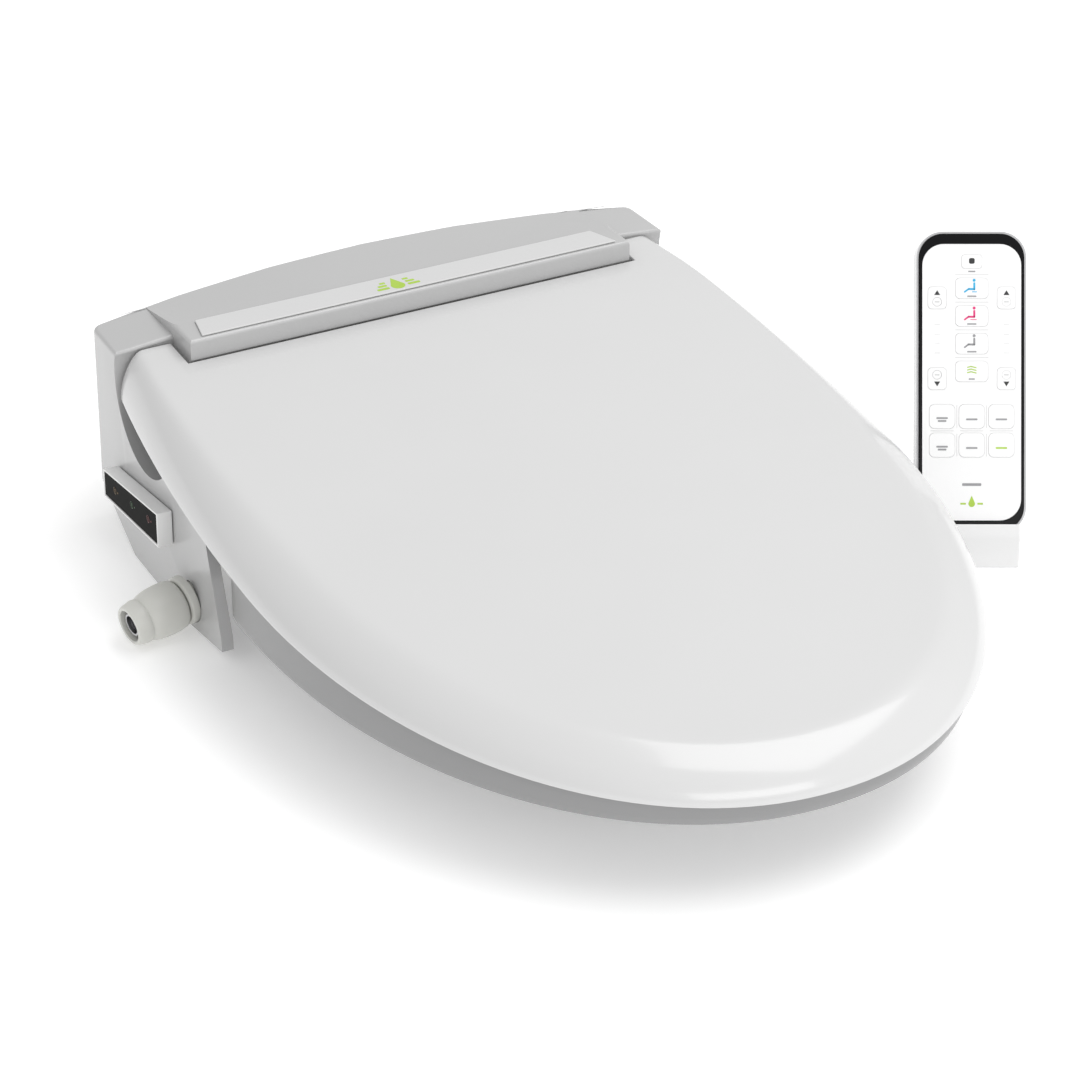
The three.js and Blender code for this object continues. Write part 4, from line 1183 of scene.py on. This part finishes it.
def build_display_lamps():
    """Dim lamp symbols on the display glass."""
    glass = frame["nodes"]["display_window"].data
    face = max(glass.polygons, key=lambda polygon: polygon.area * (polygon.normal.x < -0.5))
    out = face.normal.normalized()
    middle = centre_mm("display_window")
    front = [glass.vertices[i].co / MM for polygon in glass.polygons
             if polygon.normal.dot(out) > 0.99 for i in polygon.vertices]
    depth = max((point - middle).dot(out) for point in front)
    forward = Vector((-WALL_SLOPE, -1, POD_TILT)).normalized()
    forward = (forward - out * forward.dot(out)).normalized()
    up = out.cross(forward).normalized()
    if up.z < 0:
        up = -up
    right = up.cross(out)
    origin = middle + out * (depth + 0.005)
    place = plane_frame(right, up, out, origin)
    reach = -1 if right.dot(forward) < 0 else 1
    for name, along in LAMPS:
        marks = Marks(place)
        x = along * reach
        marks.ring(x, 0.5, 2.2, 0.5)
        marks.bar(x, 0.5, 0.4, 1.1)
        marks.bar(x + 4.5 * reach, 0.3, 0.5, 0.5)
        marks.done(name.replace("lamp", "display_lamp"), "root", name, "black_gloss")


# ---------------------------------------------------------------------------------------------
# Remote control
# ---------------------------------------------------------------------------------------------
REMOTE_PARTS = [
    ("remote_back", "remote_shell", "case_silver", "case_rim", 0.5),
    ("remote_bezel", "remote_surround", "black_gloss", "black_gloss", 0.9),
    ("remote_face", "remote_plate", "face_white", "face_white", 0.1),
    ("battery_door", "battery_cover", "case_silver", "case_rim", 0.4),
    ("battery_left", "battery_cell_left", "steel", "steel", 0.5),
    ("battery_right", "battery_cell_right", "steel", "steel", 0.5),
    ("remote_board", "remote_circuit", "circuit_green", "circuit_green", 0.1),
    ("remote_holder", "remote_stand", "holder_white", "stand_satin", 0.7),
]


KEY_GROW = 0.2
KEY_EDGE = 0.12


def widened(piece, node, by):
    """Moves a key's sides outwards so that only a hairline is left round it."""
    place = remote_frame(node, 0.0)
    back = place.inverted()
    for vert in piece.data.vertices:
        local = back @ (vert.co / MM)
        local.x += math.copysign(by, local.x)
        local.y += math.copysign(by, local.y)
        vert.co = (place @ local) * MM


def build_remote():
    for node, name, slot, material, width in REMOTE_PARTS:
        softened(node, name, material, width * MM, segments=3)
    for node in sorted(frame["nodes"]):
        if node.startswith("key_"):
            cap = softened(node, node + "_cap", "key_white", KEY_EDGE * MM)
            widened(cap, node, KEY_GROW)


# ---------------------------------------------------------------------------------------------
# Stage
# ---------------------------------------------------------------------------------------------
CAMERA_AT = (-0.9431, -1.9422, 1.1483)
CAMERA_TARGET = (-0.01378, -0.18998, 0.03482)
CAMERA_LENS = 140.0
FLOOR_RADIUS = 14.0
FLOOR_GAP = 0.05
WORLD_STRENGTH = 0.68
# Each softbox: name, place, what it points at, width and height, and power in watts.
SOFTBOXES = (
    ("softbox_top", (0.7, -0.6, 2.1), (0, -0.2, 0), (2.0, 1.6), 26),
    ("softbox_front", (-0.1, -2.5, 1.0), (0, -0.3, 0.05), (1.8, 0.6), 10.5),
)


def build_floor():
    """A wide disc just under the feet of the remote's stand."""
    floor_z = box_mm("remote_holder")[0].z - FLOOR_GAP
    bm = bmesh.new()
    rings = [[Vector((x, y, floor_z)) for x, y in circle(radius, 64)]
             for radius in (FLOOR_RADIUS / MM, 900, 450)]
    made = loft(bm, rings)
    bm.faces.new(made[-1])
    bmesh.ops.scale(bm, vec=(MM, MM, MM), verts=bm.verts)
    mesh = bpy.data.meshes.new("studio_floor")
    bm.normal_update()
    for face in bm.faces:
        if face.normal.z < 0:
            face.normal_flip()
    bm.to_mesh(mesh)
    bm.free()
    floor = bpy.data.objects.new("studio_floor", mesh)
    bpy.context.scene.collection.objects.link(floor)
    mesh.materials.append(materials["floor_pale"])


def area_light(name, at, target, size, power):
    light = bpy.data.lights.new(name, "AREA")
    light.shape = "RECTANGLE"
    light.size, light.size_y = size
    light.energy = power
    lamp = bpy.data.objects.new(name, light)
    bpy.context.scene.collection.objects.link(lamp)
    lamp.location = at
    lamp.rotation_euler = (Vector(target) - Vector(at)).to_track_quat("-Z", "Y").to_euler()


def build_lights():
    world = bpy.data.worlds.new("studio_air")
    world.use_nodes = True
    air = world.node_tree.nodes["Background"]
    air.inputs["Color"].default_value = (1, 1, 1, 1)
    air.inputs["Strength"].default_value = WORLD_STRENGTH
    bpy.context.scene.world = world
    for softbox in SOFTBOXES:
        area_light(*softbox)


def build_camera():
    camera = bpy.data.objects.new("camera", bpy.data.cameras.new("camera"))
    bpy.context.scene.collection.objects.link(camera)
    camera.location = CAMERA_AT
    camera.rotation_euler = (Vector(CAMERA_TARGET) - Vector(CAMERA_AT)).to_track_quat("-Z", "Y").to_euler()
    camera.data.lens = CAMERA_LENS
    camera.data.sensor_width = 36.0
    bpy.context.scene.camera = camera


# ---------------------------------------------------------------------------------------------
# Operators
# ---------------------------------------------------------------------------------------------
class BIDET_OT_materials(Operator):
    """Makes every finish of the bidet seat"""
    bl_idname = "bidet.materials"
    bl_label = "Make finishes"

    def execute(self, context):
        make_materials()
        return {"FINISHED"}


class BIDET_OT_lid(Operator):
    """Builds the lid's shell and its hinge lugs"""
    bl_idname = "bidet.lid"
    bl_label = "Build lid"

    def execute(self, context):
        build_lid()
        build_lid_lugs()
        return {"FINISHED"}


class BIDET_OT_seat(Operator):
    """Builds the heated seat ring and its hinge arms"""
    bl_idname = "bidet.seat"
    bl_label = "Build seat"

    def execute(self, context):
        build_seat()
        build_seat_arms()
        return {"FINISHED"}


class BIDET_OT_housing(Operator):
    """Builds the housing, its band, display surround and underside"""
    bl_idname = "bidet.housing"
    bl_label = "Build housing"

    def execute(self, context):
        build_housing()
        build_band_mark()
        build_display_lamps()
        return {"FINISHED"}


class BIDET_OT_inner(Operator):
    """Builds the pieces inside the housing and the seat"""
    bl_idname = "bidet.inner"
    bl_label = "Build inner parts"

    def execute(self, context):
        build_inner_parts()
        return {"FINISHED"}


class BIDET_OT_bumpers(Operator):
    """Builds the rubber pads under the seat and the lid"""
    bl_idname = "bidet.bumpers"
    bl_label = "Build bumpers"

    def execute(self, context):
        build_bumpers()
        return {"FINISHED"}


class BIDET_OT_inlet(Operator):
    """Builds the hose nut at the water inlet"""
    bl_idname = "bidet.inlet"
    bl_label = "Build inlet"

    def execute(self, context):
        build_inlet()
        return {"FINISHED"}


class BIDET_OT_nozzle(Operator):
    """Builds the head of the wash nozzle"""
    bl_idname = "bidet.nozzle"
    bl_label = "Build nozzle"

    def execute(self, context):
        build_nozzle_tip()
        return {"FINISHED"}


class BIDET_OT_remote(Operator):
    """Builds the remote control, its keys and its stand"""
    bl_idname = "bidet.remote"
    bl_label = "Build remote"

    def execute(self, context):
        build_remote()
        build_key_prints()
        build_face_prints()
        return {"FINISHED"}


class BIDET_OT_stage(Operator):
    """Sets up the floor, the studio lights and the camera"""
    bl_idname = "bidet.stage"
    bl_label = "Set up stage"

    def execute(self, context):
        build_floor()
        build_lights()
        build_camera()
        context.scene.view_settings.view_transform = "Standard"
        return {"FINISHED"}


OPERATORS = (BIDET_OT_materials, BIDET_OT_stage, BIDET_OT_lid, BIDET_OT_seat, BIDET_OT_housing,
             BIDET_OT_inner, BIDET_OT_bumpers, BIDET_OT_inlet, BIDET_OT_nozzle, BIDET_OT_remote)


class BIDET_PT_panel(Panel):
    """Lists the bidet seat's sizes, colours and builders"""
    bl_idname = "BIDET_PT_panel"
    bl_label = "Bidet seat"
    bl_space_type = "VIEW_3D"
    bl_region_type = "UI"
    bl_category = "Bidet seat"

    def draw(self, context):
        layout = self.layout
        for holder in (context.scene.bidet_sizes, context.scene.bidet_colours):
            for name in holder.__annotations__:
                layout.prop(holder, name)
        for operator in OPERATORS:
            layout.operator(operator.bl_idname)


CLASSES = (BidetSizes, BidetColours, *OPERATORS, BIDET_PT_panel)


def register():
    for cls in CLASSES:
        bpy.utils.register_class(cls)
    bpy.types.Scene.bidet_sizes = PointerProperty(type=BidetSizes)
    bpy.types.Scene.bidet_colours = PointerProperty(type=BidetColours)


def unregister():
    del bpy.types.Scene.bidet_sizes
    del bpy.types.Scene.bidet_colours
    for cls in reversed(CLASSES):
        bpy.utils.unregister_class(cls)


def corners(bounds):
    return [list(corner) for corner in bounds]


def main():
    register()
    for operator in OPERATORS:
        getattr(bpy.ops.bidet, operator.bl_idname.split(".")[1])()


if __name__ == "__main__":
    main()
